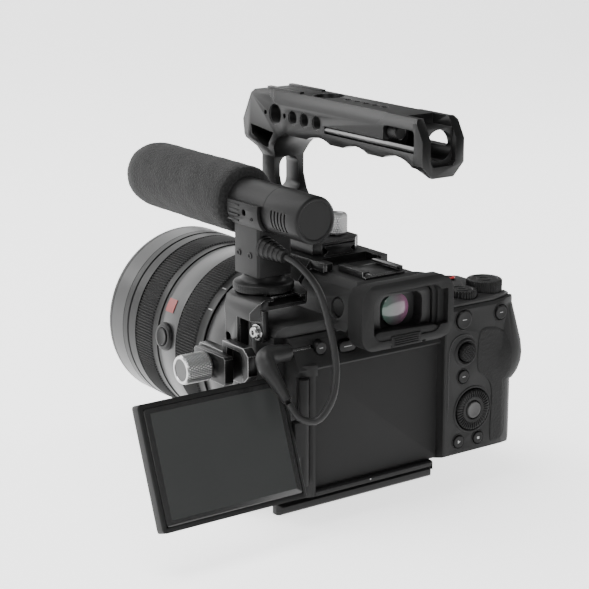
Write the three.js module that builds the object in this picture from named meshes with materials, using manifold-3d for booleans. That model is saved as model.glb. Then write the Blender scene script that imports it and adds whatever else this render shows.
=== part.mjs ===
// Mirrorless cinema camera rig: camera body with flip-out screen, standard zoom
// lens, half cage with dovetail base plate and cable clamp, quick-release top
// handle, and a shoe-mounted microphone with its cable.
// Units are millimetres, +Z up, the lens points along +Y, +X is the grip side.
// The construction datum is: X = 0 on the lens axis, Y = 0 on the floor of the
// screen recess in the camera's back, Z = 0 on the underside of the camera body.
// The last lines move the datum to the underside of the base plate.
import * as THREE from 'three';
import { mergeVertices } from 'three/addons/utils/BufferGeometryUtils.js';
import Module from 'manifold-3d';

// ---------------------------------------------------------------- dimensions
const GAP = 0.3;                       // clearance between touching pieces
const DATUM_Y = 40, PLATE_BOTTOM = -12; // origin of the finished frame
// camera body
const SHOULDER_Z = 77, BODY_FRONT = 36, SEAM_Y = 9;
const PANEL_Y = -5.5;
const TOP_SEAM = 71.9, HUMP_TOP = 94.3;
// lens
const LENS_Z = 42.5;
// flip-out screen
const HINGE_X = -43.1, HINGE_Y = -2.75, SCREEN_Z = 31.7;
const SCREEN_W = 70.8, SCREEN_H = 52.8, SCREEN_TILT = 20.8, SCREEN_FRONT = -5.05, SCREEN_BACK = 0.55;
// half cage and base plate
const PLATE_X = 44, PLATE_Y0 = 14.6, PLATE_Y1 = 52.6;
const POST_X0 = -57, POST_X1 = -50.8, POST_Y0 = 26, POST_Y1 = 37;
const SHOE_TOP = 88, RAIL_TOP = 98;
// top handle
const HANDLE_HALF = 10.8, HANDLE_TOP = 167.6, BEAM_BOTTOM = 149, HANDLE_REAR = -40, HOLE_Z = 157.2;
// microphone
const MIC_X = -40.5, MIC_Z = 125, MIC_R = 10.2, FOAM_R = 15.2, MIC_REAR = -8, FOAM_REAR = 43.2, FOAM_TIP = 131.2;
const CABLE_R = 1.55;

// ------------------------------------------------------------------- helpers
const wasm = await Module();
wasm.setup();
const { Manifold, Mesh } = wasm;

const toSolid = (geo) => {
  let g = geo.clone();
  g.deleteAttribute('normal'); g.deleteAttribute('uv');
  g = mergeVertices(g, 1e-4);
  const p = g.attributes.position.array, idx = g.index.array, tri = [];
  for (let i = 0; i < idx.length; i += 3) {
    const [a, b, c] = [idx[i], idx[i + 1], idx[i + 2]];
    if (a !== b && b !== c && a !== c) tri.push(a, b, c);
  }
  let vol = 0;
  for (let i = 0; i < tri.length; i += 3) {
    const [a, b, c] = [tri[i] * 3, tri[i + 1] * 3, tri[i + 2] * 3];
    vol += p[a] * (p[b + 1] * p[c + 2] - p[b + 2] * p[c + 1])
      - p[a + 1] * (p[b] * p[c + 2] - p[b + 2] * p[c])
      + p[a + 2] * (p[b] * p[c + 1] - p[b + 1] * p[c]);
  }
  if (vol < 0) for (let i = 0; i < tri.length; i += 3) { const t = tri[i]; tri[i] = tri[i + 1]; tri[i + 1] = t; }
  return new Manifold(new Mesh({ numProp: 3, vertProperties: new Float32Array(p), triVerts: new Uint32Array(tri) }));
};
const toGeometry = (solid) => {
  const m = solid.getMesh();
  const g = new THREE.BufferGeometry();
  g.setAttribute('position', new THREE.BufferAttribute(new Float32Array(m.vertProperties), 3));
  g.setIndex(new THREE.BufferAttribute(new Uint32Array(m.triVerts), 1));
  g.computeVertexNormals();
  return g;
};
const add = (...s) => s.reduce((a, b) => a.add(b));
const cut = (a, ...s) => s.reduce((x, b) => x.subtract(b), a);
const both = (...s) => s.reduce((a, b) => a.intersect(b));

const box = (x0, x1, y0, y1, z0, z1) => {
  const g = new THREE.BoxGeometry(x1 - x0, y1 - y0, z1 - z0);
  g.translate((x0 + x1) / 2, (y0 + y1) / 2, (z0 + z1) / 2);
  return toSolid(g);
};
// prism: a flat outline pushed along an axis from lo to hi.
// outline coordinates are (x, y) for z, (x, z) for y, (y, z) for x
const BASIS_X = new THREE.Matrix4().makeBasis(new THREE.Vector3(0, 1, 0), new THREE.Vector3(0, 0, 1), new THREE.Vector3(1, 0, 0));
const prism = (axis, pts, lo, hi, holes = []) => {
  const shape = new THREE.Shape(pts.map((p) => new THREE.Vector2(p[0], p[1])));
  for (const h of holes) shape.holes.push(new THREE.Path(h.map((p) => new THREE.Vector2(p[0], p[1]))));
  const g = new THREE.ExtrudeGeometry(shape, { depth: hi - lo, bevelEnabled: false, steps: 1 });
  if (axis === 'z') g.translate(0, 0, lo);
  if (axis === 'y') { g.rotateX(Math.PI / 2); g.translate(0, hi, 0); }
  if (axis === 'x') { g.applyMatrix4(BASIS_X); g.translate(lo, 0, 0); }
  return toSolid(g);
};
const round = (u0, u1, v0, v1, r, n = 4) => {
  const out = [];
  const corner = (cu, cv, a0) => { for (let i = 0; i <= n; i++) { const a = a0 + (Math.PI / 2) * i / n; out.push([cu + r * Math.cos(a), cv + r * Math.sin(a)]); } };
  corner(u1 - r, v0 + r, -Math.PI / 2); corner(u1 - r, v1 - r, 0); corner(u0 + r, v1 - r, Math.PI / 2); corner(u0 + r, v0 + r, Math.PI);
  return out;
};
const chamfered = (u0, u1, v0, v1, c) => [[u0 + c, v0], [u1 - c, v0], [u1, v0 + c], [u1, v1 - c], [u1 - c, v1], [u0 + c, v1], [u0, v1 - c], [u0, v0 + c]];
const turnTo = (g, axis) => { if (axis === 'z') g.rotateX(Math.PI / 2); if (axis === 'x') g.rotateZ(-Math.PI / 2); return g; };
const place = (g, axis, cu, cv) => { if (axis === 'z') g.translate(cu, cv, 0); if (axis === 'y') g.translate(cu, 0, cv); if (axis === 'x') g.translate(0, cu, cv); return g; };
// round bar along an axis; (cu, cv) are the two other coordinates of its axis
const bar = (axis, r, a0, a1, cu, cv, n = 24) => {
  const g = new THREE.CylinderGeometry(r, r, a1 - a0, n, 1); g.translate(0, (a0 + a1) / 2, 0);
  return toSolid(place(turnTo(g, axis), axis, cu, cv));
};
// turned solid: profile of [radius, position along the axis], first and last on the axis
const turned = (axis, prof, cu, cv, n = 32) => toSolid(place(turnTo(new THREE.LatheGeometry(prof.map((p) => new THREE.Vector2(p[0], p[1])), n), axis), axis, cu, cv));
// turned ring: closed profile
const ring = (axis, prof, cu, cv, n = 48) => turned(axis, [...prof, prof[0]], cu, cv, n);
const tube = (pts, r, steps, sides) => {
  const path = new THREE.CatmullRomCurve3(pts.map((p) => new THREE.Vector3(...p)), false, 'centripetal');
  const circle = [];
  for (let i = 0; i < sides; i++) { const a = 2 * Math.PI * i / sides; circle.push(new THREE.Vector2(r * Math.cos(a), r * Math.sin(a))); }
  return toSolid(new THREE.ExtrudeGeometry(new THREE.Shape(circle), { steps, bevelEnabled: false, extrudePath: path }));
};
// knurled or notched round cap: outline with teeth, pushed along an axis
const aimed = (prof, a, b, n = 16) => {
  const g = turnTo(new THREE.LatheGeometry(prof.map((p) => new THREE.Vector2(p[0], p[1])), n), 'z');
  const dir = new THREE.Vector3(b[0] - a[0], b[1] - a[1], b[2] - a[2]).normalize();
  g.applyQuaternion(new THREE.Quaternion().setFromUnitVectors(new THREE.Vector3(0, 0, 1), dir));
  g.translate(...a);
  return toSolid(g);
};

const group = new THREE.Group();
group.name = 'cinema_camera_rig';
const LOOK = {
  magnesium: [0x2c2c2d, 0.62, 0.2], plastic: [0x303031, 0.6, 0.0], rubber: [0x262626, 0.85, 0.0], anodised: [0x2b2b2d, 0.45, 0.6],
  lens_barrel: [0x3a3a3b, 0.4, 0.4], silver: [0xb9b9b6, 0.32, 0.9], glass: [0x20302c, 0.08, 0.0], screen_glass: [0x2d3130, 0.1, 0.0],
  foam: [0x3b3b3b, 0.95, 0.0], red: [0x9c1d1c, 0.5, 0.0], cable: [0x242424, 0.7, 0.0],
};
const node = (name, look, solid) => {
  const [color, roughness, metalness] = LOOK[look];
  const g = toGeometry(solid);
  g.translate(0, -DATUM_Y, -PLATE_BOTTOM);
  const mesh = new THREE.Mesh(g, new THREE.MeshStandardMaterial({ color, roughness, metalness }));
  mesh.name = name;
  group.add(mesh);
};

// ---------------------------------------------------------------- camera body
// outline seen from behind (x, z)
const BACK_OUTLINE = [[-46.4, 0], [66, 0], [72.5, 1.6], [76, 5.5], [77.6, 12], [78.6, 24], [79.6, 34], [81.4, 41], [82, 47], [81.4, 53], [79.8, 60], [78.4, 67], [77.4, 71.6], [75, 75], [70.5, 77.4], [-44, 77.4], [-48.4, 75], [-50, 71.5], [-50, 61], [-48.4, 59], [-48.4, 2]];
// plan outline (x, y) of the part forward of the seam, with the grip on the right
const PLAN = [[-50, SEAM_Y + GAP], [81.9, SEAM_Y + GAP], [82, 20], [81.2, 34], [79, 46], [74, 53.4], [66, 56.2], [57.5, 54.5], [52, 48.5], [48.5, 41], [45, 37.2], [41, BODY_FRONT], [-37, BODY_FRONT], [-44.5, 33.2], [-48.6, 28], [-50, 22]];
const backSolid = prism('y', BACK_OUTLINE, -20, 70);
const ball = (rx, ry, rz, cx, cy, cz) => { const g = new THREE.SphereGeometry(1, 16, 12); g.scale(rx, ry, rz); g.translate(cx, cy, cz); return toSolid(g); };
const thumb = Manifold.hull([ball(10.5, 9.2, 15, 71.2, 1.2, 47.5), ball(5, 5, 4, 71.4, 1.2, 69.5)]);
const boss = ring('y', [[22.8, 33], [37.5, 33], [37.5, 40.5], [34.5, 42.6], [22.8, 42.6]], 0, LENS_Z, 40);
const throat = bar('y', 22.8, 20, 60, 0, LENS_Z, 40);
const batteryBay = box(51.8, 71.2, 14.5, 44.5, -1, 56);
const frontDialPocket = bar('z', 8.4, 58.6, 69, 62, 52.6, 24);
let core = both(backSolid, prism('z', PLAN, 0, TOP_SEAM));
core = add(core, boss);
core = cut(core, box(43, 90, 38.2, 70, 67.9, 80), throat, batteryBay, bar('z', 3.3, -1, 9, 0, 25, 20),
  box(-51, -47.2, 11.2, 25.4, 38.2, 57.8),                       // seat of the port door
  box(-49, -36, 13, 24, 41, 55),                                   // port bay behind it
  box(47.8, 73.4, 11.8, 47.4, -1, 1.9),                            // seat of the battery door
  prism('x', [[9, -1], [13.4, -1], [13.4, 0.05], [9, 1.4]], 28.2, 90),  // bevel under the back edge
  frontDialPocket);
// rubber wrap on the front of the grip: stands 1.6 mm proud of the core
const GRIP_OUT = [[84, 14], [83.7, 22], [83, 35], [80.6, 47.4], [75, 55.2], [66.2, 58.2], [56.6, 56.4], [50.6, 49.8], [47.2, 42], [44.6, 38.6], [42, 38.2], [42, 36.3], [45, 37.6], [48.2, 41.3], [51.7, 48.8], [57.3, 54.9], [66, 56.6], [74.3, 53.7], [79.4, 46.2], [81.5, 34.2], [82.3, 20], [82.2, 14]];
const grip = both(prism('z', GRIP_OUT, 6, 59), prism('y', [[38, 7.5], [72, 6], [82, 14], [84, 30], [85.5, 47], [83, 57], [74, 59], [46, 59], [38, 54]], 0, 70));

// rear cover: recess for the screen on the left, raised control panel on the right
const slabPlan = [[-45, SEAM_Y], [-45, 3], [-44.2, 1.4], [-42.4, 0.6], [-40.2, 0.3], [-39.4, -2.2], [-38.2, -3.2], [-37, -3.2], [-37, 0], [32.6, 0], [32.6, -4.9], [33.2, PANEL_Y], [61, PANEL_Y], [67, -5.1], [72.5, -3.2], [76.5, 0], [79.2, 4.6], [80.2, SEAM_Y]];
const upperSide = [[SEAM_Y, 58.5], [-1.9, 58.5], [-2.2, 59.3], [4.6, 70.4], [5.4, TOP_SEAM], [SEAM_Y, TOP_SEAM]];
let rear = add(
  prism('z', slabPlan, 0, 58.7),
  prism('x', upperSide, -45, 34),
  prism('z', [[32.6, SEAM_Y], [32.6, -4.9], [33.2, PANEL_Y], [61, PANEL_Y], [67, -5.1], [72.5, -3.2], [76.5, 0], [79.2, 4.6], [80.2, SEAM_Y]], 58.5, TOP_SEAM),
  both(thumb, box(55, 90, -20, SEAM_Y, 20, 73.6)),
  prism('x', [[0.5, 0], [0.5, 4.2], [-2.6, 4.2], [-3.4, 3.6], [-3.4, 0]], -37.2, 28.2),
  prism('z', [[-45, SEAM_Y], [-45, 3], [-44.2, 0.6], [-42.6, -1.4], [-40.2, -2.2], [-38.2, -3.2], [-36, -3.2], [-36, SEAM_Y]], 56.2, 61));
rear = both(rear, prism('y', [[-46.4, 0], [66, 0], [72.5, 1.6], [76, 5.5], [77.6, 12], [78.6, 24], [79.6, 34], [81.4, 41], [82, 47], [81.4, 53], [79.8, 60], [78.4, 67], [77.4, TOP_SEAM], [76, 74.4], [60, 74.4], [-46.4, 74.4]], -20, SEAM_Y),
  prism('x', [[-20, 0], [SEAM_Y, 0], [SEAM_Y, TOP_SEAM], [0.6, TOP_SEAM], [0.6, 74.4], [-4.6, 74.4], [-5.2, 73], [-9.5, 66], [-20, 66]], -60, 90));
rear = cut(rear, prism('x', [[-9, -1], [SEAM_Y + 1, -1], [SEAM_Y + 1, 0.9], [0, 3.6], [-4.6, 5.0], [PANEL_Y, 5.4], [-9, 5.4]], 32.55, 90),
  prism('x', [[-9, -1], [SEAM_Y + 1, -1], [SEAM_Y + 1, 0.9], [0, 4.0], [-9, 4.0]], 28.2, 32.6),
  prism('x', [[-9, -1], [2.2, -1], [2.2, 0], [-3.4, 1.8], [-9, 3.6]], -60, 28.2));
rear = add(rear, both(prism('z', [[34.4, 2], [34.4, -4.9], [35, PANEL_Y], [61, PANEL_Y], [67, -5.1], [72.5, -3.2], [76.5, 0], [77, 0.5], [77, 2]], TOP_SEAM - 0.2, 74.4), prism('x', [[-5.6, 71], [0.6, 71], [0.6, 74.4], [-4.6, 74.4], [-5.5, 73]], 30, 90), prism('y', [[34, 70], [77.6, 70], [77.4, 71.6], [75.4, 74.4], [34, 74.4]], -20, 20)));
const WHEEL = [49.3, 25.3], STICK = [44.6, 53.2], FN = [43.3, 41.9], PLAY = [41.2, 11.3], DEL = [52.8, 11.1], AFON = [42.8, 68.7], AEL = [64.8, 68.7];
const well = (c, r, d = 3.2, n = 16) => bar('y', r, PANEL_Y + 0.6 - 3, PANEL_Y + d, c[0], c[1], n);
rear = cut(rear, well(WHEEL, 10.1, 3.6, 28), well(STICK, 4.7, 6, 20), well(FN, 3.3), well(PLAY, 3.2), well(DEL, 3.1), well(AFON, 4.55), well(AEL, 3.6),
  bar('y', 3.15, -8, 6.2, -31.3, 66.7, 20),
  prism('y', round(-22.1, -12.7, 62.6, 68.0, 2.65, 5), -8, 6.0),
  bar('x', 1.9, -50, -34, 4.3, 66.6, 14),
  box(-46, -40.9, -6, 0.6, 7.5, 56.2));
node('body_core', 'magnesium', core);
node('rear_cover', 'magnesium', rear);
node('grip_rubber', 'rubber', grip);

// top cover with the viewfinder hump
const humpBack = [[-23.5, 74], [-21, 77], [-18.6, 91], [-15.5, HUMP_TOP], [15.5, HUMP_TOP], [18.6, 91], [21, 77], [23.5, 74]];
const humpSide = [[-6, 72.2], [-6, 91.8], [-3.6, HUMP_TOP], [26, HUMP_TOP], [33, 92], [41, 84.5], [43.4, 78], [43.4, 72.2]];
let top = both(backSolid, add(both(box(43.2, 83, 38.5, 60, 68.2, 80), prism('z', PLAN, 60, 90)),
  prism('z', [[-50, 9.4], [-45, 6.6], [-22, 6.6], [-22, 2.4], [31, 2.4], [33, -4.2], [62, -4.2], [69, -2.6], [74.6, 0.6], [78.6, 5.4], [81.9, 12], [82, 20], [81.2, 34], [79, 46], [74, 53.4], [66, 56.2], [57.5, 54.5], [52, 48.5], [48.5, 41], [45, 37.2], [41, BODY_FRONT], [-37, BODY_FRONT], [-44.5, 33.2], [-48.6, 28], [-50, 22]], TOP_SEAM + GAP, 78)));
top = cut(both(top, prism('x', [[-5, 70], [-5, 74.7], [-4.2, 75.8], [-0.5, SHOULDER_Z], [32, SHOULDER_Z], [38, 75.6], [46, 72.6], [57, 69.4], [58, 67], [-5, 67]], -60, 90)), box(32, 90, -10, 0.9, 70, 74.7));
top = add(top, both(prism('y', humpBack, -10, 50), prism('x', humpSide, -30, 30)));
const ring36 = bar('y', 38.1, 32.4, 60, 0, LENS_Z, 40);
top = cut(top, ring36,
  bar('z', 7.3, 74.7, 90, 50, 4.5, 24), bar('z', 8.7, 75.6, 90, 65.3, 6.9, 24), bar('z', 8.9, 75.4, 90, 36.6, 21.8, 24),
  bar('z', 3.3, 74, 90, 63.5, 29.5, 16), bar('z', 8.4, 70.6, 90, 65.6, 47, 24),
  bar('x', 4.6, -30, -15.4, 4.5, 82, 18));
node('top_cover', 'magnesium', top);

node('lens_mount_ring', 'silver', ring('y', [[23.2, 42.9], [32.4, 42.9], [32.4, 44.6], [23.2, 44.6]], 0, LENS_Z));
node('image_sensor', 'glass', box(-18, 18, 20.3, 21.6, LENS_Z - 12, LENS_Z + 12));
node('hot_shoe', 'anodised', cut(prism('y', [[-11, 94.6], [11, 94.6], [11, 97.4], [7.2, 97.4], [7.2, 96.5], [9.4, 96.5], [9.4, 95.4], [-9.4, 95.4], [-9.4, 96.5], [-7.2, 96.5], [-7.2, 97.4], [-11, 97.4]], -3.4, 16.4), box(-20, -7, -4, -1.4, 95.4, 98), box(7, 20, -4, -1.4, 95.4, 98)).add(box(-6.2, 6.2, -1, 13.4, 95.2, 95.6)));

// eyecup, eyepiece frame and glass
const cupOuter = both(prism('y', round(-25, 25, 67.2, 96, 8, 6), -19.4, -9.6), prism('x', [[-20, 70], [-18.2, 67], [-9, 67], [-9, 94], [-13, 96.2], [-18, 96.2], [-20, 94]], -30, 30));
node('eyecup', 'rubber', cut(cupOuter, prism('y', round(-18.5, 18.5, 71.2, 92.2, 5, 5), -21, -15), prism('y', round(-16.6, 16.6, 71.9, 91.1, 4, 4), -16, -9), box(15, 21.8, -21, -16.4, 74, 89.5)));
node('eyepiece_frame', 'plastic', cut(add(prism('y', round(-16.2, 16.2, 72.3, 90.7, 3.8, 4), -14.2, -9.2), prism('y', round(-19, 19, 70.2, 92.4, 5, 4), -9.3, -6.3)), prism('y', round(-11.4, 11.4, 73.8, 89, 4, 5), -15, -8.4), box(-3.5, 3.5, -12, -8, 69, 70.4)));
node('eyepiece_lens', 'glass', turned('y', [[0, -11.6], [4.2, -11.3], [7.1, -10.4], [7.1, -8.7], [0, -8.7]], 0, 81.4, 32));

// dials and buttons on the top
const dial = (axis, r, a0, a1, cu, cv, n = 28) => turned(axis, [[0, a0], [r, a0], [r, a1 - 0.8], [r - 0.8, a1], [0, a1]], cu, cv, n);
node('mode_dial', 'plastic', dial('z', 8.5, 75.8, 84.3, 36.6, 21.8));
node('ev_dial', 'plastic', dial('z', 8.3, 76, 82, 65.3, 6.9));
node('rear_dial', 'plastic', dial('z', 6.9, 75, 79.8, 50, 4.5));
node('front_dial', 'plastic', dial('z', 7.6, 59, 67.4, 62, 52.6));
node('power_lever', 'plastic', add(ring('z', [[5.2, 70.9], [7.9, 70.9], [7.9, 73.3], [7.1, 74], [5.2, 74]], 65.6, 47, 24), box(70.8, 75.4, 47.2, 49.6, 72.8, 73.9)));
node('shutter_button', 'plastic', turned('z', [[0, 71], [4.8, 71], [4.8, 73.8], [4.3, 74.4], [0, 74.6]], 65.6, 47, 24));
node('button_rec', 'red', turned('z', [[0, 74.6], [2.9, 74.6], [2.9, 77.9], [2.5, 78.3], [0, 78.3]], 63.5, 29.5, 16));
node('diopter_dial', 'plastic', turned('x', [[0, -19.6], [3.7, -19.6], [4.3, -19], [4.3, -15.8], [0, -15.8]], 4.5, 82, 18));

// controls on the back
const cap = (c, r, y0, y1, n = 20) => turned('y', [[0, y0], [r - 0.5, y0], [r, y0 + 0.5], [r, y1], [0, y1]], c[0], c[1], n);
node('control_wheel', 'plastic', ring('y', [[4.3, -6.4], [8.9, -6.6], [9.6, -5.9], [9.6, -2.6], [4.3, -2.6]], WHEEL[0], WHEEL[1], 28));
node('wheel_button', 'plastic', cap(WHEEL, 3.9, -7.0, -2.4));
node('joystick', 'rubber', add(turned('y', [[0, -8.4], [3.2, -8.4], [4, -7.6], [4, -5.6], [2.2, -5.2], [2.2, -1.0], [0, -1.0]], STICK[0], STICK[1], 20)));
node('button_fn', 'plastic', cap(FN, 3.0, -6.2, -2.8, 16));
node('button_play', 'plastic', cap(PLAY, 2.9, -6.2, -2.8, 16));
node('button_delete', 'plastic', cap(DEL, 2.8, -6.2, -2.8, 16));
node('button_af_on', 'plastic', cap(AFON, 4.25, -6.5, -2.8));
node('button_ael', 'plastic', cap(AEL, 3.3, -6.3, -2.8, 16));
node('button_c3', 'plastic', turned('y', [[0, 0.6], [2.35, 0.6], [2.85, 1.1], [2.85, 5.8], [0, 5.8]], -31.3, 66.7, 16));
node('button_menu', 'plastic', prism('y', round(-21.8, -13.0, 62.9, 67.7, 2.35, 5), 0.3, 5.6));

// doors
node('battery_door', 'plastic', both(prism('z', chamfered(48.2, 73, 12.2, 47, 2), 0, 1.6), backSolid, prism('z', PLAN, -1, 9)));
node('port_door', 'rubber', prism('x', round(11.6, 25, 38.6, 57.4, 1.5, 3), -48.6, -47.4));

// ------------------------------------------------------------ flip-out screen
const hinge = add(bar('z', 2.3, 8, 55.8, HINGE_X, HINGE_Y, 20), box(-48.8, HINGE_X, -4.9, -0.8, 22, 37.6), bar('x', 1.7, -50.6, -48, HINGE_Y, SCREEN_Z, 16));
node('screen_hinge', 'plastic', hinge);
const near = -49.1, far = near - SCREEN_W;
const tilt = (solid) => solid.translate([0, -HINGE_Y, -SCREEN_Z]).rotate([-SCREEN_TILT, 0, 0]).translate([0, HINGE_Y, SCREEN_Z]);
const zLo = SCREEN_Z - SCREEN_H / 2, zHi = SCREEN_Z + SCREEN_H / 2;
const panelBlank = both(prism('y', round(far, near, zLo, zHi, 1.6, 3), SCREEN_FRONT, SCREEN_BACK), prism('z', chamfered(far, near, SCREEN_FRONT, SCREEN_BACK, 0.5), zLo, zHi));
node('screen_panel', 'plastic', cut(tilt(cut(panelBlank, box(far + 2, near - 1.6, SCREEN_FRONT - 1, SCREEN_FRONT + 1.1, zLo + 2, zHi - 2))), bar('x', 2.0, -51, -48, HINGE_Y, SCREEN_Z, 16)));
node('screen_glass', 'screen_glass', tilt(box(far + 2.3, near - 1.9, SCREEN_FRONT + 0.1, SCREEN_FRONT + 0.8, zLo + 2.3, zHi - 2.3)));

// ----------------------------------------------------------------------- lens
const lens = (name, look, prof, n = 40) => node(name, look, ring('y', prof, 0, LENS_Z, n));
lens('lens_rear_barrel', 'lens_barrel', [[33, 45], [35, 45], [37, 53], [40.8, 64], [41.4, 79.7], [37.8, 79.7], [37.8, 66], [33, 54]]);
lens('zoom_ring', 'rubber', [[37.8, 80], [42.1, 80], [42.1, 85.6], [43.1, 86.2], [43.1, 102], [37.8, 102]]);
const boss2 = (() => { const g = new THREE.CylinderGeometry(6.2, 6.8, 3.4, 24, 1); g.rotateZ(Math.PI / 2); g.translate(-42.7, 0, 0); g.rotateY(THREE.MathUtils.degToRad(6.6)); g.translate(0, 111.9, LENS_Z); return toSolid(g); })();
const holdHole = (() => { const g = new THREE.CylinderGeometry(4.5, 4.5, 8, 20, 1); g.rotateZ(Math.PI / 2); g.translate(-44.2, 0, 0); g.rotateY(THREE.MathUtils.degToRad(6.6)); g.translate(0, 111.9, LENS_Z); return toSolid(g); })();
const hold = (() => { const g = new THREE.CylinderGeometry(4.2, 3.8, 4.2, 20, 1); g.rotateZ(Math.PI / 2); g.translate(-42.8, 0, 0); g.rotateY(THREE.MathUtils.degToRad(6.6)); g.translate(0, 111.9, LENS_Z); return toSolid(g); })();
node('lens_mid_barrel', 'lens_barrel', cut(add(ring('y', [[35.2, 66.4], [37.4, 66.4], [37.4, 102.3], [42.7, 102.3], [42.7, 115.4], [42.2, 119], [37.4, 119], [37.4, 150], [35.2, 150]], 0, LENS_Z, 40), both(boss2, box(-60, -38, 100, 125, 0, 80))), holdHole));
lens('focus_ring', 'rubber', [[37.8, 119.3], [42.6, 119.3], [42.6, 123.6], [43.4, 124.2], [43.4, 138.6], [37.8, 138.6]]);
lens('lens_front_barrel', 'lens_barrel', [[37.8, 138.9], [43.3, 138.9], [43.3, 145.4], [42.8, 145.8], [43.5, 146.4], [43.5, 163.6], [42.6, 165], [41.2, 165], [41.2, 157.4], [37.8, 150.6]]);
node('front_element', 'glass', turned('y', [[0, 145], [34.8, 145], [34.8, 149], [28, 153.2], [14, 156.4], [0, 157.3]], 0, LENS_Z, 32));
node('focus_hold_button', 'plastic', hold);

// --------------------------------------------------- base plate and half cage
const plateSection = [[PLATE_Y0 + 1, PLATE_BOTTOM], [PLATE_Y1 - 1, PLATE_BOTTOM], [PLATE_Y1, PLATE_BOTTOM + 1], [PLATE_Y1, -8.2], [PLATE_Y1 - 3.2, -5.6], [PLATE_Y1 - 3.2, -4.2], [PLATE_Y1 - 0.8, -2.4], [PLATE_Y1 - 0.8, -GAP], [PLATE_Y0 + 0.8, -GAP], [PLATE_Y0 + 0.8, -2.4], [PLATE_Y0 + 3.2, -4.2], [PLATE_Y0 + 3.2, -5.6], [PLATE_Y0, -8.2], [PLATE_Y0, PLATE_BOTTOM + 1]];
node('base_plate', 'anodised', cut(both(prism('x', plateSection, -PLATE_X, PLATE_X), prism('z', [[-PLATE_X + 2, PLATE_Y0], [PLATE_X - 2, PLATE_Y0], [PLATE_X, PLATE_Y0 + 2], [PLATE_X, PLATE_Y1 - 4], [PLATE_X - 4, PLATE_Y1], [-PLATE_X + 9, PLATE_Y1], [-PLATE_X + 5, PLATE_Y1 - 6], [-PLATE_X + 5, PLATE_Y0 + 10], [-PLATE_X, PLATE_Y0 + 5], [-PLATE_X, PLATE_Y0 + 2]], -13, 1)),
  bar('z', 3.35, -13, 1, 0, 25, 20), bar('z', 7.6, -13, -6.8, 0, 25, 24),
  bar('z', 2.55, -13, 1, 24, 33.6, 16), bar('z', 2.55, -13, 1, -24, 33.6, 16), bar('z', 4.2, -13, 1, 34, 33.6, 20), bar('z', 4.2, -13, 1, -34, 33.6, 20)));
node('camera_screw', 'silver', cut(turned('z', [[0, -11.4], [6.8, -11.4], [7.3, -10.9], [7.3, -7.1], [3.0, -7.1], [3.0, 6.5], [0, 6.5]], 0, 25, 24), box(-7.5, 7.5, 24.2, 25.8, -12, -10)));

const armXZ = [[POST_X0, 79], [POST_X0, 82.4], [-54.6, 86.4], [-52, SHOE_TOP], [-27.5, SHOE_TOP], [-24.5, 89.2], [-18.4, RAIL_TOP - 1], [-17.2, RAIL_TOP], [17.2, RAIL_TOP], [18.2, RAIL_TOP - 1], [18.2, 94.9], [-16.7, 94.9], [-20.2, 91.6], [-25.5, 83.4], [POST_X1, 83.4], [POST_X1, 79]];
const armPlan = [[POST_X0, 17], [-54, 13.4], [-30.6, 13.4], [-27.6, 16.4], [-24, 28], [-17.4, 28], [-17.4, 18.4], [-16.4, 17.2], [-13.4, 17.2], [-12.4, 18.4], [-12.4, 27], [12.4, 27], [12.4, 18.4], [13.4, 17.2], [17, 17.2], [18.2, 18.6], [18.2, 66], [15, 69], [-13, 69], [-17, 65], [-21, 50], [-29, 40.5], [-45, 38.5], [-54.5, 38.5], [POST_X0, 36.5]];
let frame = add(both(prism('y', armXZ, 0, 80), prism('z', armPlan, 60, 110)),
  prism('z', chamfered(POST_X0, POST_X1, POST_Y0, POST_Y1, 1), -5, 82),
  prism('y', [[POST_X0 + 0.8, -6], [-39.3, -6], [-39.3, -1], [POST_X1, -1], [POST_X1, 0.5], [POST_X0, 0.5], [POST_X0, -5.2]], 26, 44),
  prism('x', [[12, 71], [13.6, 69.6], [17.6, 69.6], [20.6, 72], [22.6, 79], [27, 83.6], [12, 83.6]], -53.6, POST_X1),
  prism('y', [[-8.2, RAIL_TOP - 0.2], [8.2, RAIL_TOP - 0.2], [8.2, 98.4], [6.2, 100], [8.2, 101.6], [8.2, 102.4], [-8.2, 102.4], [-8.2, 101.6], [-6.2, 100], [-8.2, 98.4]], 30, 68));
frame = cut(frame,
  box(-49.9, -30.1, 10, 33.5, 85, 87.1), box(-46.9, -33.1, 10, 34.4, 86.9, 90),   // cold shoe slot
  bar('x', 2.6, -60, -48, 34.2, 68, 20), bar('x', 1.6, -60, -48, 16, 74, 14), bar('x', 1.6, -60, -48, 31.5, 20, 14), bar('x', 1.6, -60, -48, 31.5, 10, 14), bar('x', 2.3, -60, -48, 35, 57, 16));
node('cage_frame', 'anodised', frame);
node('lug_screw', 'silver', cut(turned('x', [[0, -56.3], [2.2, -56.3], [2.8, -55.6], [2.8, -53.9], [1.3, -53.9], [1.3, -50.9], [0, -50.9]], 16, 74, 20), prism('x', [[16 - 1.2, 74], [15.4, 72.96], [16.6, 72.96], [17.2, 74], [16.6, 75.04], [15.4, 75.04]], -57, -55.2)));

// cable clamp on the side of the post
const bracket = cut(add(prism('x', [[11, 56.4], [17, 50.4], [31, 50.4], [31, 68.3], [15, 68.3], [11, 65.3]], -62, -57.3), prism('x', chamfered(28, 50, 50.4, 63.2, 1), -62, -57.3)), bar('x', 2.3, -63, -57, 35, 57, 16),
  prism('x', [[15.3, 48], [27.6, 48], [27.6, 66], [18, 66], [15.3, 64.2]], -63, -58.8));   // cable slot
node('clamp_bracket', 'anodised', bracket);
node('clamp_jaw', 'anodised', cut(prism('x', chamfered(22, 46.6, 50.6, 63, 1), -66.6, -62.3), bar('x', 2.3, -67, -62, 35, 57, 16)));
node('clamp_knob', 'silver', turned('x', [[0, -80.8], [5.9, -80.8], [6.6, -80.1], [6.6, -68.6], [6, -68], [4.2, -68], [4.2, -66.9], [2.0, -66.9], [2.0, -58.2], [0, -58.2]], 35, 57, 24));

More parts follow.
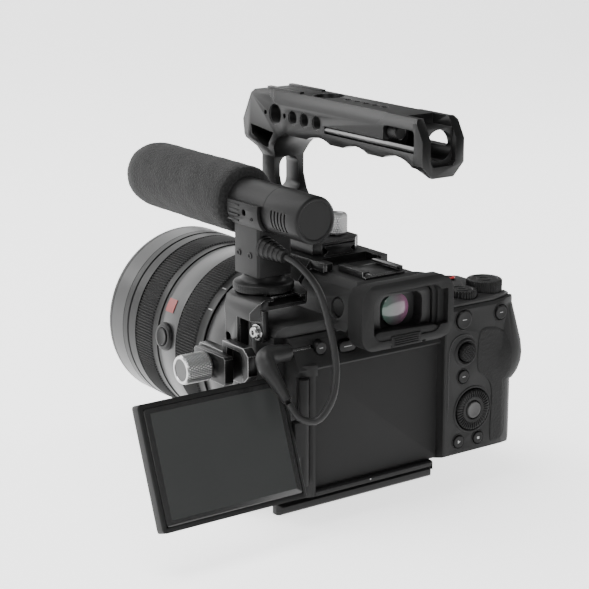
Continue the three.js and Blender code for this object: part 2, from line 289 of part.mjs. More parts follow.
// ------------------------------------------------------- quick-release handle
const clampBlock = cut(prism('z', chamfered(-12.4, 12, 30.5, 76, 3), 98.3, 104), prism('y', [[-8.6, 97], [8.6, 97], [8.6, 102.8], [-8.6, 102.8]], 20, 80), box(8.4, 13, 36, 64, 97, 102.9));
node('nato_clamp', 'anodised', clampBlock);
node('nato_jaw', 'anodised', both(prism('y', [[8.7, 98.3], [16, 98.3], [16.6, 99], [16.6, 102.6], [15.8, 103.4], [12.4, 103.4], [12.4, 102.5], [8.9, 102.5], [8.9, 101.9], [7, 100], [8.7, 98.6]], 36.4, 63.6), prism('z', chamfered(5, 16.6, 36.4, 63.6, 2), 90, 110)));
node('nato_knob', 'silver', turned('z', [[0, 104.3], [3.6, 104.3], [3.6, 104.9], [5.4, 104.9], [5.4, 112.9], [4.7, 113.6], [0, 113.6]], 6.6, 42, 24));

const sideProfile = [[-39.6, 143.6], [-36.4, 143.4], [-30, BEAM_BOTTOM], [57, BEAM_BOTTOM], [62.4, 146.8], [67, 141.5], [69, 136.5], [69, 128], [66.4, 121], [60.6, 113.4], [56.4, 109], [55, 106], [55, 104.3], [76, 104.3], [76.8, 108], [78.2, 116], [79, 124], [79, 136.6], [81.5, 140.4], [88.4, 143.6], [89.6, 145], [90.6, 152], [84, 164.6], [82, 166.6], [76, HANDLE_TOP], [-34.9, HANDLE_TOP], [-36, 165.9], [-39.6, 159.6]];
const crossProfile = [[-10.8, 104], [-10.8, 109], [-8.1, 116], [-8.1, 137], [-10.8, 143.5], [-10.8, 165], [-9.2, HANDLE_TOP], [9.2, HANDLE_TOP], [10.8, 165], [10.8, 143.5], [8.1, 137], [8.1, 116], [10.8, 109], [10.8, 104]];
const scallop = (y) => bar('x', 20, -12, 12, y, BEAM_BOTTOM - 18, 40);
let handle = both(prism('x', sideProfile, -HANDLE_HALF, HANDLE_HALF), prism('y', crossProfile, -50, 100));
handle = add(handle, both(prism('y', [[-5.6, 143.4], [5.6, 143.4], [11, 149], [11, 166], [9.6, HANDLE_TOP], [-9.6, HANDLE_TOP], [-11, 166], [-11, 149]], HANDLE_REAR, -33.6),
  prism('x', [[HANDLE_REAR, 143], [HANDLE_REAR, 159], [-36.2, 165.6], [-34.9, HANDLE_TOP], [-33, HANDLE_TOP], [-33, 143]], -12, 12)));
// wide chamfer along both sides, running out at each end
for (const s of [-1, 1]) handle = cut(handle, Manifold.hull([
  prism('z', [[s * 12, -10], [s * 12, 66], [s * 10.81, 65], [s * 10.81, -9]], 162.3, 162.4),
  prism('z', [[s * 12, -17], [s * 12, 73], [s * 8.1, 69.5], [s * 8.1, -13.5]], HANDLE_TOP, HANDLE_TOP + 0.2)]),
  // lower corner of the rear frame
  Manifold.hull([
    prism('y', [[s * 5.6, 143.38], [s * 11.02, 149], [s * 13, 149], [s * 13, 141], [s * 5.6, 141]], -41, -34.4),
    prism('y', [[s * 10.2, 142.6], [s * 11.02, 144.4], [s * 13, 144.4], [s * 13, 141], [s * 10.2, 141]], -34.4, -29)]));
handle = add(handle,
  box(-7, -4.8, 50.5, 76, 167, 168.4), box(4.8, 7, 50.5, 76, 167, 168.4));
const sideHoles = [[64.5, 4.75, 20], [51.1, 3.25, 14], [42.2, 3.25, 14], [33, 3.25, 14], [72.1, 1.2, 8], [57.2, 1.2, 8]].map(([y, r, n]) => bar('x', r, -12, 12, y, HOLE_Z, n));
const topHoles = [24.6, 18.2, 11.8, 5.4, -1].map((y) => bar('z', 1.6, 163, 170, 0, y, 10));
handle = cut(handle, ...sideHoles, ...topHoles, scallop(31.6), scallop(5), scallop(-22.3),
  bar('z', 7, 162.6, 170, 0, 38.6, 24),
  prism('x', [[84.2, 150.4], [66, 148.6], [71.4, 141], [74.4, 141.2], [83.2, 146]], -12, 12),
  prism('y', round(-5.2, 5.2, 120.6, 136.6, 4.2, 5), 50, 90),
  prism('y', [[-4.9, 148], [4.9, 148], [6.6, 149.7], [6.6, 170], [-6.6, 170], [-6.6, 149.7]], -41, -37.2),   // open rear frame
  box(-6.6, 6.6, -38, -25, 163.4, 170),                                // notch in the top behind it
  bar('y', 6.6, -41, -9, 0, 156.2, 28),
  prism('x', round(-34.6, -14, 155, 162.8, 1.6, 3), -12, 12),
  box(-12, -8.2, -34.6, 27.2, 153.4, 156.6),
  bar('y', 1.8, -15, -3, -6.6, 159.7, 10));
node('handle', 'anodised', handle);
const hex = (r, cx, cz) => Array.from({ length: 6 }, (_, i) => [cx + r * Math.cos(Math.PI * i / 3), cz + r * Math.sin(Math.PI * i / 3)]);
node('hex_key', 'silver', prism('y', hex(1.3, -9.6, 155), -34.2, 26.8));
node('rod_screw', 'anodised', turned('y', [[0, -20.6], [2.5, -20.6], [2.9, -20.2], [2.9, -14.7], [1.45, -14.7], [1.45, -4], [0, -4]], -6.6, 159.7, 16));

// ----------------------------------------------------------------- microphone
node('mic_tube', 'plastic', turned('y', [[0, MIC_REAR], [MIC_R - 1.2, MIC_REAR], [MIC_R, MIC_REAR + 1.2], [MIC_R, FOAM_REAR - GAP], [8, FOAM_REAR - GAP], [8, 118], [0, 118]], MIC_X, MIC_Z, 32));
node('mic_foam', 'foam', turned('y', [[8.4, FOAM_REAR], [13, FOAM_REAR], [15, FOAM_REAR + 2], [FOAM_R, FOAM_REAR + 6], [FOAM_R, 116], [14.1, 122], [11.2, 127.2], [6.4, 130.3], [0, FOAM_TIP], [0, 118.4], [8.4, 118.4], [8.4, FOAM_REAR]], MIC_X, MIC_Z, 32));
let mount = add(prism('z', chamfered(-49.4, -31.8, 21.6, 40.4, 1), 95.5, 118),
  both(bar('y', 12.2, 17.4, 40.6, MIC_X, MIC_Z, 32), box(-60, MIC_X - 7, 15, 45, 117, 127.8)),
  aimed([[0, 0], [4.4, 0], [4.2, 3], [3.6, 7], [2.6, 10.4], [2.3, 12.2], [0, 12.2]], [-45.9, 22.6, 109], [-43, 10.8, 106.6], 14));
mount = cut(mount, bar('y', MIC_R + GAP, 10, 60, MIC_X, MIC_Z, 32), bar('z', 3.4, 90, 101.4, -40.5, 30.8, 16), bar('x', 1.5, -56, -48, 27.6, 123.7, 12));
node('mic_mount', 'plastic', mount);
node('mic_lock_ring', 'plastic', ring('z', [[3.4, 88.2], [12.6, 88.2], [13.35, 88.9], [13.35, 91.2], [12.4, 92], [9.9, 92.6], [8.8, 95.1], [3.4, 95.1]], -40.5, 30.8, 32));
node('mic_shoe_foot', 'silver', add(box(-49.4, -30.6, 21, 33.2, 85.25, 86.65), prism('z', round(-46.5, -33.5, 24.4, 30.7, 1.5, 3), 86.6, 87.2), bar('z', 3.05, 87, 100.6, -40.5, 30.8, 16)));

// cable from the strain relief on the mount to the right-angle plug in the
// camera's side; the loop stands off behind the top corner of the open screen
node('mic_plug', 'cable', (() => {
  const e = [-59.2, 4.3, 66.8], t = [-59.5, -14.7, 52.2];
  const leg = aimed([[0, -0.5], [4.0, -0.5], [3.6, 5], [2.8, 11], [2.3, 16], [1.9, 21.7], [0, 21.7]], e, t, 14);
  const s = new THREE.SphereGeometry(4.1, 12, 8); s.translate(...e);
  return add(leg, toSolid(s), turned('x', [[0, -59.2], [4.1, -59.2], [4.1, -52], [3.6, -45.4], [1.6, -45.4], [1.6, -35], [0, -35]], 4.3, 66.6, 14));
})());
node('mic_cable', 'cable', tube([[-42.9, 10.3, 106.5], [-41.0, 4.0, 104.0], [-38.5, -6.9, 95.1], [-38.2, -15.2, 79.4], [-39.1, -20.6, 63.2], [-43.3, -22.8, 51.2], [-49.9, -21.4, 43.8], [-56.1, -18.4, 45.4], [-58.4, -16.0, 49.2], [-59.3, -15.1, 51.6]], CABLE_R, 44, 8));

export default group;
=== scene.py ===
import math
import bpy, bmesh
import numpy as np
from mathutils import Vector, Matrix

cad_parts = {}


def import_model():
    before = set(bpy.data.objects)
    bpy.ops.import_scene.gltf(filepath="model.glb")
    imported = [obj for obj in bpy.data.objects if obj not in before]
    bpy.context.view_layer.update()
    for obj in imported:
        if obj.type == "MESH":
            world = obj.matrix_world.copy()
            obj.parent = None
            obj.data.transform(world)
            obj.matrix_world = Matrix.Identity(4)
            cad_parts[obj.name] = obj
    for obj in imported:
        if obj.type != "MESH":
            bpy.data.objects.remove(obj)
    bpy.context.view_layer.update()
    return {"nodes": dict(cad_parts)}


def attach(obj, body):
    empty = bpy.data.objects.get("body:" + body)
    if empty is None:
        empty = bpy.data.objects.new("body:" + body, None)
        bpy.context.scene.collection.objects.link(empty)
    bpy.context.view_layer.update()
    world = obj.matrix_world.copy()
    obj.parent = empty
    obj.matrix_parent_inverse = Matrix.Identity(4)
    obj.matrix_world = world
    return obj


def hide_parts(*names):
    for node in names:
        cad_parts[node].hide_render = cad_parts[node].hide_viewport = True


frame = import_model()
N = frame["nodes"]

# construction datum (mm): x 0 on the lens axis, y 0 on the screen recess floor, z 0 under the camera body
def P(p):
    return (p[0] / 1000, (p[1] - 40) / 1000, (p[2] + 12) / 1000)


# ------------------------------------------------------------------ camera
def camera():
    az, el, roll = math.radians(-35.12), math.radians(14.86), math.radians(-0.11)
    back = Vector((math.sin(az) * math.cos(el), -math.cos(az) * math.cos(el), math.sin(el)))
    right = (-back).cross(Vector((0, 0, 1))).normalized()
    up = right.cross(-back)
    r2 = math.cos(roll) * right + math.sin(roll) * up
    u2 = -math.sin(roll) * right + math.cos(roll) * up
    cam = bpy.data.objects.new("camera", bpy.data.cameras.new("camera"))
    bpy.context.scene.collection.objects.link(cam)
    m = Matrix((r2, u2, back)).transposed().to_4x4()
    m.translation = Vector(P((-450.21, -575.12, 279.30)))
    cam.matrix_world = m
    cam.data.lens, cam.data.sensor_width = 106.44, 36.0
    cam.data.clip_start, cam.data.clip_end = 0.01, 20
    bpy.context.scene.camera = cam


camera()

# --------------------------------------------------------------- materials
def lin(v):
    v = v / 255
    return v / 12.92 if v <= 0.04045 else ((v + 0.055) / 1.055) ** 2.4


def grey(v, tint=(1, 1, 1)):
    return tuple(lin(v) * t for t in tint)


def material(name, col, rough, metal=0.0, var=0.12, grain=900.0, bump=0.12, depth=0.00006, rv=0.08, kind="noise", spec=0.5,
             coat=0.0, axis=None, sheen=0.0, wear=0.0):
    m = bpy.data.materials.new(name)
    m.use_nodes = True
    nt = m.node_tree
    L, new = nt.links.new, nt.nodes.new
    b = nt.nodes["Principled BSDF"]
    b.inputs["Metallic"].default_value = metal
    b.inputs["Specular IOR Level"].default_value = spec
    b.inputs["Coat Weight"].default_value = coat
    b.inputs["Coat Roughness"].default_value = 0.12
    b.inputs["Sheen Weight"].default_value = sheen
    tc = new("ShaderNodeTexCoord")
    cloud = new("ShaderNodeTexNoise"); cloud.inputs["Scale"].default_value = 38; cloud.inputs["Detail"].default_value = 5
    L(tc.outputs["Object"], cloud.inputs["Vector"])
    fine = new("ShaderNodeTexNoise"); fine.inputs["Scale"].default_value = grain * 0.6; fine.inputs["Detail"].default_value = 3
    L(tc.outputs["Object"], fine.inputs["Vector"])
    mix = new("ShaderNodeMath"); mix.operation = "ADD"
    half = new("ShaderNodeMath"); half.operation = "MULTIPLY"; half.inputs[1].default_value = 0.5
    L(cloud.outputs["Fac"], mix.inputs[0]); L(fine.outputs["Fac"], mix.inputs[1]); L(mix.outputs[0], half.inputs[0])
    ramp = new("ShaderNodeValToRGB")
    ramp.color_ramp.elements[0].position, ramp.color_ramp.elements[1].position = 0.36, 0.64
    ramp.color_ramp.elements[0].color = (*[c * (1 - var) for c in col], 1)
    ramp.color_ramp.elements[1].color = (*[min(1, c * (1 + var)) for c in col], 1)
    L(half.outputs[0], ramp.inputs["Fac"])
    colour = ramp.outputs["Color"]
    if wear:      # rubbed spots where hands and neighbours touch
        spot = new("ShaderNodeTexNoise"); spot.inputs["Scale"].default_value = 210; spot.inputs["Detail"].default_value = 8
        L(tc.outputs["Object"], spot.inputs["Vector"])
        cut = new("ShaderNodeMapRange"); cut.inputs["From Min"].default_value = 0.66; cut.inputs["From Max"].default_value = 0.78
        cut.inputs["To Max"].default_value = wear
        L(spot.outputs["Fac"], cut.inputs["Value"])
        blend = new("ShaderNodeMix"); blend.data_type = "RGBA"
        blend.inputs[7].default_value = (*[min(1, c * 2.6 + 0.02) for c in col], 1)
        L(cut.outputs["Result"], blend.inputs[0]); L(colour, blend.inputs[6])
        colour = blend.outputs[2]
    L(colour, b.inputs["Base Color"])
    rr = new("ShaderNodeMapRange")
    rr.inputs["To Min"].default_value, rr.inputs["To Max"].default_value = max(0.03, rough - rv), min(1, rough + rv)
    L(half.outputs[0], rr.inputs["Value"]); L(rr.outputs["Result"], b.inputs["Roughness"])
    vec = tc.outputs["Object"]
    if axis:
        mp = new("ShaderNodeMapping"); s = [1.0, 1.0, 1.0]; s["xyz".index(axis)] = 0.03
        mp.inputs["Scale"].default_value = s; L(vec, mp.inputs["Vector"]); vec = mp.outputs["Vector"]
    if kind in ("leather", "foam"):
        h = new("ShaderNodeTexVoronoi"); h.inputs["Scale"].default_value = grain
        if kind == "leather":
            h.feature = "SMOOTH_F1"
        out = h.outputs["Distance"]
    else:
        h = new("ShaderNodeTexNoise"); h.inputs["Scale"].default_value = grain; h.inputs["Detail"].default_value = 4
        out = h.outputs["Fac"]
    L(vec, h.inputs["Vector"])
    bp = new("ShaderNodeBump"); bp.inputs["Strength"].default_value = bump; bp.inputs["Distance"].default_value = depth
    L(out, bp.inputs["Height"]); L(bp.outputs["Normal"], b.inputs["Normal"])
    return m


M = {
    "body": material("body_grain", grey(24), 0.62, grain=1900, bump=0.4, depth=0.00009, spec=0.22),
    # painted light: the top cover gets a lighter copy of the body finish, as if lit from above
    "body_painted_lit_top": material("body_grain_painted_lit_top", grey(30), 0.56, grain=1900, bump=0.4, depth=0.00009, spec=0.28),
    "recess": material("recess_plastic", grey(33), 0.72, grain=2600, bump=0.2, depth=0.00004, spec=0.16, var=0.06),
    "leather": material("grip_leather", grey(24), 0.7, grain=1000, bump=0.8, depth=0.00026, kind="leather", spec=0.2),
    "rubber": material("soft_rubber", grey(20), 0.68, grain=1500, bump=0.25, spec=0.2),
    "plastic": material("moulded_plastic", grey(26), 0.42, grain=1600, bump=0.2, spec=0.2),
    "button": material("button_plastic", grey(14), 0.34, grain=2200, bump=0.12, spec=0.14),
    # light grey standing in for the reflection on the control wheel's centre button: painted reflection
    "centre_painted_reflection": material("wheel_centre_painted_reflection", grey(52), 0.3, grain=2200, bump=0.1, spec=0.25),
    "knob_face": material("knob_face_brushed", grey(74), 0.4, grain=1600, bump=0.2, metal=0.5),
    "anodised": material("black_anodised", grey(18), 0.33, metal=0.12, grain=2600, bump=0.22, depth=0.00004, wear=0.1, spec=0.26),
    # the light grey on chamfers and hole rims is a painted highlight; the rubbed spots on it are wear
    "anod_edge": material("anodised_edge_painted_highlight_and_wear", grey(118), 0.28, metal=0.8, grain=2600, bump=0.1, depth=0.00003, wear=0.3),
    "barrel": material("lens_barrel_satin", grey(12), 0.36, metal=0.0, grain=2300, bump=0.12, depth=0.00003, spec=0.22, var=0.06),
    # a lighter copy of the satin barrel finish: painted highlight on the lit bands of the lens and on the hot shoe
    "barrel_painted_highlight": material("lens_barrel_painted_highlight_band", grey(34), 0.32, metal=0.25, grain=2300, bump=0.12, depth=0.00003, var=0.06),
    "ring": material("lens_ring_rubber", grey(10), 0.5, grain=1600, bump=0.12, spec=0.16),
    "silver": material("turned_steel", grey(182), 0.3, metal=1.0, var=0.06, grain=1500, bump=0.1, depth=0.00003),
    "steel": material("plated_steel", grey(150), 0.26, metal=1.0, var=0.08, grain=900, bump=0.12, depth=0.00003),
    "brushed": material("brushed_steel", grey(104), 0.36, metal=1.0, var=0.1, grain=1400, bump=0.25, depth=0.00003, axis="y"),
    "mic": material("microphone_satin", grey(18), 0.46, grain=2400, bump=0.2, depth=0.00004, spec=0.16, var=0.08),
    "foam": material("foam_windscreen", grey(38), 0.95, var=0.35, grain=1150, bump=0.8, depth=0.0003, kind="foam", spec=0.1, sheen=0.08),
    "cable": material("cable_jacket", grey(31), 0.42, grain=1200, bump=0.1, spec=0.18),
    # near black for the lens grooves, mic slits, screw sockets and the eyecup notch: painted shade
    "painted_shade_fill": material("recess_painted_shade", grey(8), 0.8, grain=1200, bump=0.1, spec=0.12),
    "red": material("record_red", (0.36, 0.01, 0.01), 0.34, var=0.1, grain=1800, bump=0.1),
    "badge": material("badge_enamel", (0.20, 0.02, 0.018), 0.34, var=0.12, grain=1400, bump=0.1),
    "mark": material("white_print", grey(150), 0.6, var=0.08, grain=2200, bump=0.05),
    "bezel": material("screen_bezel", grey(30), 0.22, grain=2400, bump=0.02, rv=0.03, coat=0.2, var=0.05),
    "lcd": material("screen_lit_glass", grey(46, (0.97, 1.02, 1.0)), 0.24, var=0.03, grain=2400, bump=0.006, rv=0.02, coat=0.3),
    "shell": material("screen_shell", grey(20), 0.5, grain=2100, bump=0.3, depth=0.00006, spec=0.18),
}


def coating_reflection_tint(name, a, b, axis, lo, hi):
    """Dark optics with their coating's reflection painted in: the tint runs from colour a to colour b across the glass.
    """
    m = material(name, a, 0.06, grain=300, bump=0.0, rv=0.02, spec=0.5, coat=0.25, var=0.1)
    nt = m.node_tree
    tc = nt.nodes.new("ShaderNodeTexCoord"); sep = nt.nodes.new("ShaderNodeSeparateXYZ")
    mr = nt.nodes.new("ShaderNodeMapRange"); ramp = nt.nodes.new("ShaderNodeValToRGB")
    mr.inputs["From Min"].default_value, mr.inputs["From Max"].default_value = lo, hi
    nt.links.new(tc.outputs["Object"], sep.inputs[0]); nt.links.new(sep.outputs["XYZ".index(axis)], mr.inputs["Value"])
    nt.links.new(mr.outputs["Result"], ramp.inputs["Fac"])
    ramp.color_ramp.elements[0].color, ramp.color_ramp.elements[1].color = (*a, 1), (*b, 1)
    e = ramp.color_ramp.elements.new(0.6); e.color = (*[0.35 * (x + y) for x, y in zip(a, b)], 1)
    nt.links.new(ramp.outputs["Color"], nt.nodes["Principled BSDF"].inputs["Base Color"])
    return m


# the green-to-purple and teal-to-purple tints are painted reflections of the coatings
M["finder"] = coating_reflection_tint("finder_painted_coating_reflection", (0.05, 0.12, 0.085), (0.24, 0.08, 0.17), "X", -0.009, 0.009)
M["front"] = coating_reflection_tint("front_painted_coating_reflection", (0.012, 0.03, 0.035), (0.05, 0.02, 0.05), "Z", 0.02, 0.09)


def dress(node, mat, bevel=0.0, edge=None, angle=32, seg=2):
    """A CAD node keeps its mesh and gets a finish, with its edges broken by a small radius."""
    o = N[node]
    o.data.materials.clear()
    o.data.materials.append(M[mat])
    w = o.modifiers.new("weld", "WELD"); w.merge_threshold = 1e-6
    if bevel:
        b = o.modifiers.new("edge", "BEVEL")
        b.width, b.segments, b.limit_method, b.angle_limit = bevel / 1000, seg, "ANGLE", math.radians(angle)
        b.use_clamp_overlap = True
        b.harden_normals = False
        # the bevel faces take the edge material, which on the anodised parts is a painted highlight along the chamfers
        if edge:
            o.data.materials.append(M[edge]); b.material = 1
    smooth(o, angle)


SMOOTH = None
def smooth(o, angle=35):
    """Smooth shading up to an angle, as a modifier, so a CAD mesh itself stays untouched."""
    global SMOOTH
    if SMOOTH is None:
        g = bpy.data.node_groups.new("smooth_by_angle", "GeometryNodeTree")
        g.interface.new_socket("Geometry", in_out="INPUT", socket_type="NodeSocketGeometry")
        g.interface.new_socket("Geometry", in_out="OUTPUT", socket_type="NodeSocketGeometry")
        i, out = g.nodes.new("NodeGroupInput"), g.nodes.new("NodeGroupOutput")
        ang = g.nodes.new("GeometryNodeInputMeshEdgeAngle")
        cmp = g.nodes.new("FunctionNodeCompare"); cmp.operation = "LESS_EQUAL"; cmp.inputs[1].default_value = math.radians(36)
        face = g.nodes.new("GeometryNodeSetShadeSmooth"); face.domain = "FACE"
        edge = g.nodes.new("GeometryNodeSetShadeSmooth"); edge.domain = "EDGE"
        g.links.new(i.outputs[0], face.inputs[0]); g.links.new(face.outputs[0], edge.inputs[0])
        g.links.new(ang.outputs[0], cmp.inputs[0]); g.links.new(cmp.outputs[0], edge.inputs["Shade Smooth"])
        g.links.new(edge.outputs[0], out.inputs[0])
        SMOOTH = g
    m = o.modifiers.new("smooth", "NODES"); m.node_group = SMOOTH


# ---------------------------------------------------------------- building
def obj(name, verts, faces, mat, body, mats=None, idx=None, at=None):
    me = bpy.data.meshes.new(name)
    me.from_pydata([P(v) for v in verts], [], faces)
    bm = bmesh.new(); bm.from_mesh(me)
    bmesh.ops.remove_doubles(bm, verts=bm.verts, dist=1e-7)
    bmesh.ops.recalc_face_normals(bm, faces=bm.faces)
    bm.to_mesh(me); bm.free()
    for m in (mats or [mat]):
        me.materials.append(M[m])
    if idx:
        for p in me.polygons:
            p.material_index = idx(p)
    o = bpy.data.objects.new(name, me)
    bpy.context.scene.collection.objects.link(o)
    smooth(o)
    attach(o, body)
    return o


def place(axis, c, r, t, a):
    u, v = r * math.cos(t), r * math.sin(t)
    return {"x": (a, c[0] + u, c[1] + v), "y": (c[0] + u, a, c[1] + v), "z": (c[0] + u, c[1] + v, a)}[axis]


def lathe(name, axis, c, prof, mat, body, n=96, mod=None, closed=False, xf=None, mats=None, pick=None):
    """A turned piece. prof is (radius, position) and mod(i, angle, radius, position) may cut ribs or knurls into it."""
    V, F, K = [], [], []
    for i, (r, a) in enumerate(prof):
        for k in range(n):
            t = 2 * math.pi * k / n
            rr = mod(i, t, r, a) if mod and r > 1e-6 else r
            p = place(axis, c, rr, t, a)
            V.append(xf(p) if xf else p)
    m = len(prof)
    for i in range(m if closed else m - 1):
        j = (i + 1) % m
        for k in range(n):
            q = (k + 1) % n
            a, b, cc, d = i * n + k, i * n + q, j * n + q, j * n + k
            if prof[i][0] < 1e-6 and prof[j][0] < 1e-6:
                continue
            F.append((a, b, cc, d) if prof[i][0] > 1e-6 and prof[j][0] > 1e-6 else ((a, b, cc, d)))
            K.append(pick(i) if pick else 0)
    me = bpy.data.meshes.new(name)
    me.from_pydata([P(v) for v in V], [], F)
    for s in (mats or [mat]):
        me.materials.append(M[s])
    me.polygons.foreach_set("material_index", K)
    bm = bmesh.new(); bm.from_mesh(me)
    bmesh.ops.remove_doubles(bm, verts=bm.verts, dist=1e-7)
    bmesh.ops.dissolve_degenerate(bm, edges=bm.edges, dist=1e-8)
    bmesh.ops.recalc_face_normals(bm, faces=bm.faces)
    bm.to_mesh(me); bm.free()
    o = bpy.data.objects.new(name, me)
    bpy.context.scene.collection.objects.link(o)
    smooth(o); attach(o, body)
    return o


def prism(name, axis, pts, lo, hi, mat, body, bevel=0.0, xf=None):
    """An outline (u, v) extruded along axis from lo to hi."""
    f = {"x": lambda u, v, a: (a, u, v), "y": lambda u, v, a: (u, a, v), "z": lambda u, v, a: (u, v, a)}[axis]
    n = len(pts)
    V = [f(u, v, lo) for u, v in pts] + [f(u, v, hi) for u, v in pts]
    if xf:
        V = [xf(p) for p in V]
    F = [tuple(range(n)), tuple(range(n, 2 * n))] + [(k, (k + 1) % n, n + (k + 1) % n, n + k) for k in range(n)]
    o = obj(name, V, F, mat, body)
    if bevel:
        b = o.modifiers.new("edge", "BEVEL"); b.width, b.segments, b.limit_method = bevel / 1000, 2, "ANGLE"
        o.modifiers.move(1, 0)
    return o


def rounded(x0, x1, z0, z1, r, n=6):
    pts = []
    for cx, cz, s in ((x1 - r, z1 - r, 0), (x0 + r, z1 - r, 1), (x0 + r, z0 + r, 2), (x1 - r, z0 + r, 3)):
        for k in range(n + 1):
            t = math.pi / 2 * (s + k / n)
            pts.append((cx + r * math.cos(t), cz + r * math.sin(t)))
    return pts


def catmull(pts, n):
    """n points evenly spaced on one smooth curve through pts."""
    p = [Vector(q) for q in pts]
    p = [p[0] * 2 - p[1]] + p + [p[-1] * 2 - p[-2]]
    out = []
    for i in range(1, len(p) - 2):
        a, b, c, d = p[i - 1:i + 3]
        t0 = 0.0
        t1 = t0 + (b - a).length ** 0.5; t2 = t1 + (c - b).length ** 0.5; t3 = t2 + (d - c).length ** 0.5
        for k in range(40):
            t = t1 + (t2 - t1) * k / 40
            a1 = a * ((t1 - t) / (t1 - t0)) + b * ((t - t0) / (t1 - t0))
            a2 = b * ((t2 - t) / (t2 - t1)) + c * ((t - t1) / (t2 - t1))
            a3 = c * ((t3 - t) / (t3 - t2)) + d * ((t - t2) / (t3 - t2))
            b1 = a1 * ((t2 - t) / (t2 - t0)) + a2 * ((t - t0) / (t2 - t0))
            b2 = a2 * ((t3 - t) / (t3 - t1)) + a3 * ((t - t1) / (t3 - t1))
            out.append(b1 * ((t2 - t) / (t2 - t1)) + b2 * ((t - t1) / (t2 - t1)))
    out.append(p[-2])
    cum = [0.0]
    for a, b in zip(out, out[1:]):
        cum.append(cum[-1] + (b - a).length)
    res = []
    for k in range(n):
        s = cum[-1] * k / (n - 1)
        i = min(max(int(np.searchsorted(cum, s)), 1), len(out) - 1)
        f = (s - cum[i - 1]) / max(cum[i] - cum[i - 1], 1e-9)
        res.append(out[i - 1].lerp(out[i], f))
    return res, cum[-1]


def sweep(name, pts, radius, mat, body, n=24):
    """A round moulded piece along a line, with its own radius at each point."""
    V, F = [], []
    t = [(pts[min(i + 1, len(pts) - 1)] - pts[max(i - 1, 0)]).normalized() for i in range(len(pts))]
    u = t[0].orthogonal().normalized()
    for i, p in enumerate(pts):
        u = (u - t[i] * u.dot(t[i])).normalized(); v = t[i].cross(u)
        for k in range(n):
            a = 2 * math.pi * k / n
            V.append(tuple(p + (u * math.cos(a) + v * math.sin(a)) * radius(i / (len(pts) - 1))))
    for i in range(len(pts) - 1):
        F += [(i * n + k, i * n + (k + 1) % n, (i + 1) * n + (k + 1) % n, (i + 1) * n + k) for k in range(n)]
    F += [tuple(range(n)), tuple(range((len(pts) - 1) * n, len(pts) * n))]
    return obj(name, V, F, mat, body)


def tri(x):
    return 2 * abs(2 * (x / (2 * math.pi) - math.floor(x / (2 * math.pi) + 0.5))) - 1


def ribs(count, depth, rows, duty=0.2):
    def f(i, t, r, a):
        return r - depth * min(1, max(0, 0.5 + (tri(t * count) + duty) * 1.8)) if i in rows else r
    return f


def knurl(count, depth, pitch, rows):
    def f(i, t, r, a):
        if i not in rows:
            return r
        p = tri(count * t + 2 * math.pi * a / pitch); q = tri(count * t - 2 * math.pi * a / pitch)
        return r - depth * max(0.0, 0.5 + 0.5 * max(p, q))
    return f


def steps(r, a0, a1, n):
    return [(r, a0 + (a1 - a0) * k / n) for k in range(n + 1)]


# -------------------------------------------------- cord first, then the rest
ROUTE = [(-42.9, 10.3, 106.5), (-41.0, 4.0, 104.0), (-38.5, -6.9, 95.1), (-38.2, -15.2, 79.4), (-39.1, -20.6, 63.2), (-43.3, -22.8, 51.2),
         (-49.9, -21.4, 43.8), (-56.1, -18.4, 45.4), (-58.4, -16.0, 49.2), (-59.3, -15.1, 51.6)]
line, length = catmull(ROUTE, 40)
cu = bpy.data.curves.new("mic_lead", "CURVE")
cu.dimensions, cu.bevel_depth, cu.bevel_resolution, cu.use_fill_caps = "3D", 0.00155, 6, True
sp = cu.splines.new("POLY"); sp.points.add(len(line) - 1)
for q, p in zip(sp.points, line):
    q.co = (*P(p), 1)
sp.use_smooth = True
cu.materials.append(M["cable"])
lead = bpy.data.objects.new("mic_lead", cu)
bpy.context.scene.collection.objects.link(lead)
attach(lead, "rig"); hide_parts("mic_cable")

elbow, _ = catmull([(-45.6, 4.3, 66.6), (-51, 4.3, 66.7), (-55.4, 4.2, 67.0), (-58.6, 3.0, 66.2), (-59.6, 0.4, 63.8), (-59.6, -4.6, 59.9), (-59.55, -9.6, 56.1), (-59.5, -14.6, 52.3)], 46)
def plug_r(t):
    return float(np.interp(t, [0, 0.02, 0.16, 0.3, 0.42, 0.52, 0.7, 0.9, 0.98, 1.0], [3.2, 3.6, 4.0, 4.15, 4.2, 4.0, 3.1, 2.35, 2.1, 1.75]))
plug = sweep("plug_moulding", elbow, plug_r, "cable", "rig")
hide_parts("mic_plug")
jack = lathe("plug_tip", "x", (4.3, 66.6), [(0, -45.8), (1.6, -45.8), (1.6, -35.2), (0, -35.2)], "steel", "rig", n=24)

# ---------------------------------------------------------------- CAD finishes
# the hot shoe takes the lighter barrel copy, a painted highlight
for node, mat, bev, edge in [
    ("body_core", "body", 0.4, None), ("rear_cover", "body", 0.35, None), ("grip_rubber", "leather", 0.3, None), ("top_cover", "body_painted_lit_top", 0.5, None),
    ("lens_mount_ring", "steel", 0.1, None), ("image_sensor", "bezel", 0, None), ("hot_shoe", "barrel_painted_highlight", 0.2, "anod_edge"),
    ("eyecup", "rubber", 1.0, None), ("eyepiece_frame", "plastic", 0.4, None), ("battery_door", "body", 0.25, None), ("port_door", "rubber", 0.25, None),
    ("button_menu", "button", 0.35, None), ("screen_hinge", "shell", 0.25, None), ("screen_panel", "shell", 0.35, None), ("power_lever", "plastic", 0.25, None),
    ("base_plate", "anodised", 0.25, None), ("camera_screw", "steel", 0.15, None), ("cage_frame", "anodised", 0.3, "anod_edge"), ("lug_screw", "steel", 0.1, None),
    ("clamp_bracket", "anodised", 0.3, "anod_edge"), ("clamp_jaw", "anodised", 0.3, "anod_edge"), ("nato_clamp", "anodised", 0.3, "anod_edge"),
    ("nato_jaw", "anodised", 0.25, "anod_edge"), ("handle", "anodised", 0.35, "anod_edge"), ("hex_key", "brushed", 0.1, None),
    ("mic_mount", "mic", 0.3, None), ("mic_shoe_foot", "steel", 0.15, None)]:
    dress(node, mat, bev, edge)


def instead(o, node):
    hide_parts(node)
    return o


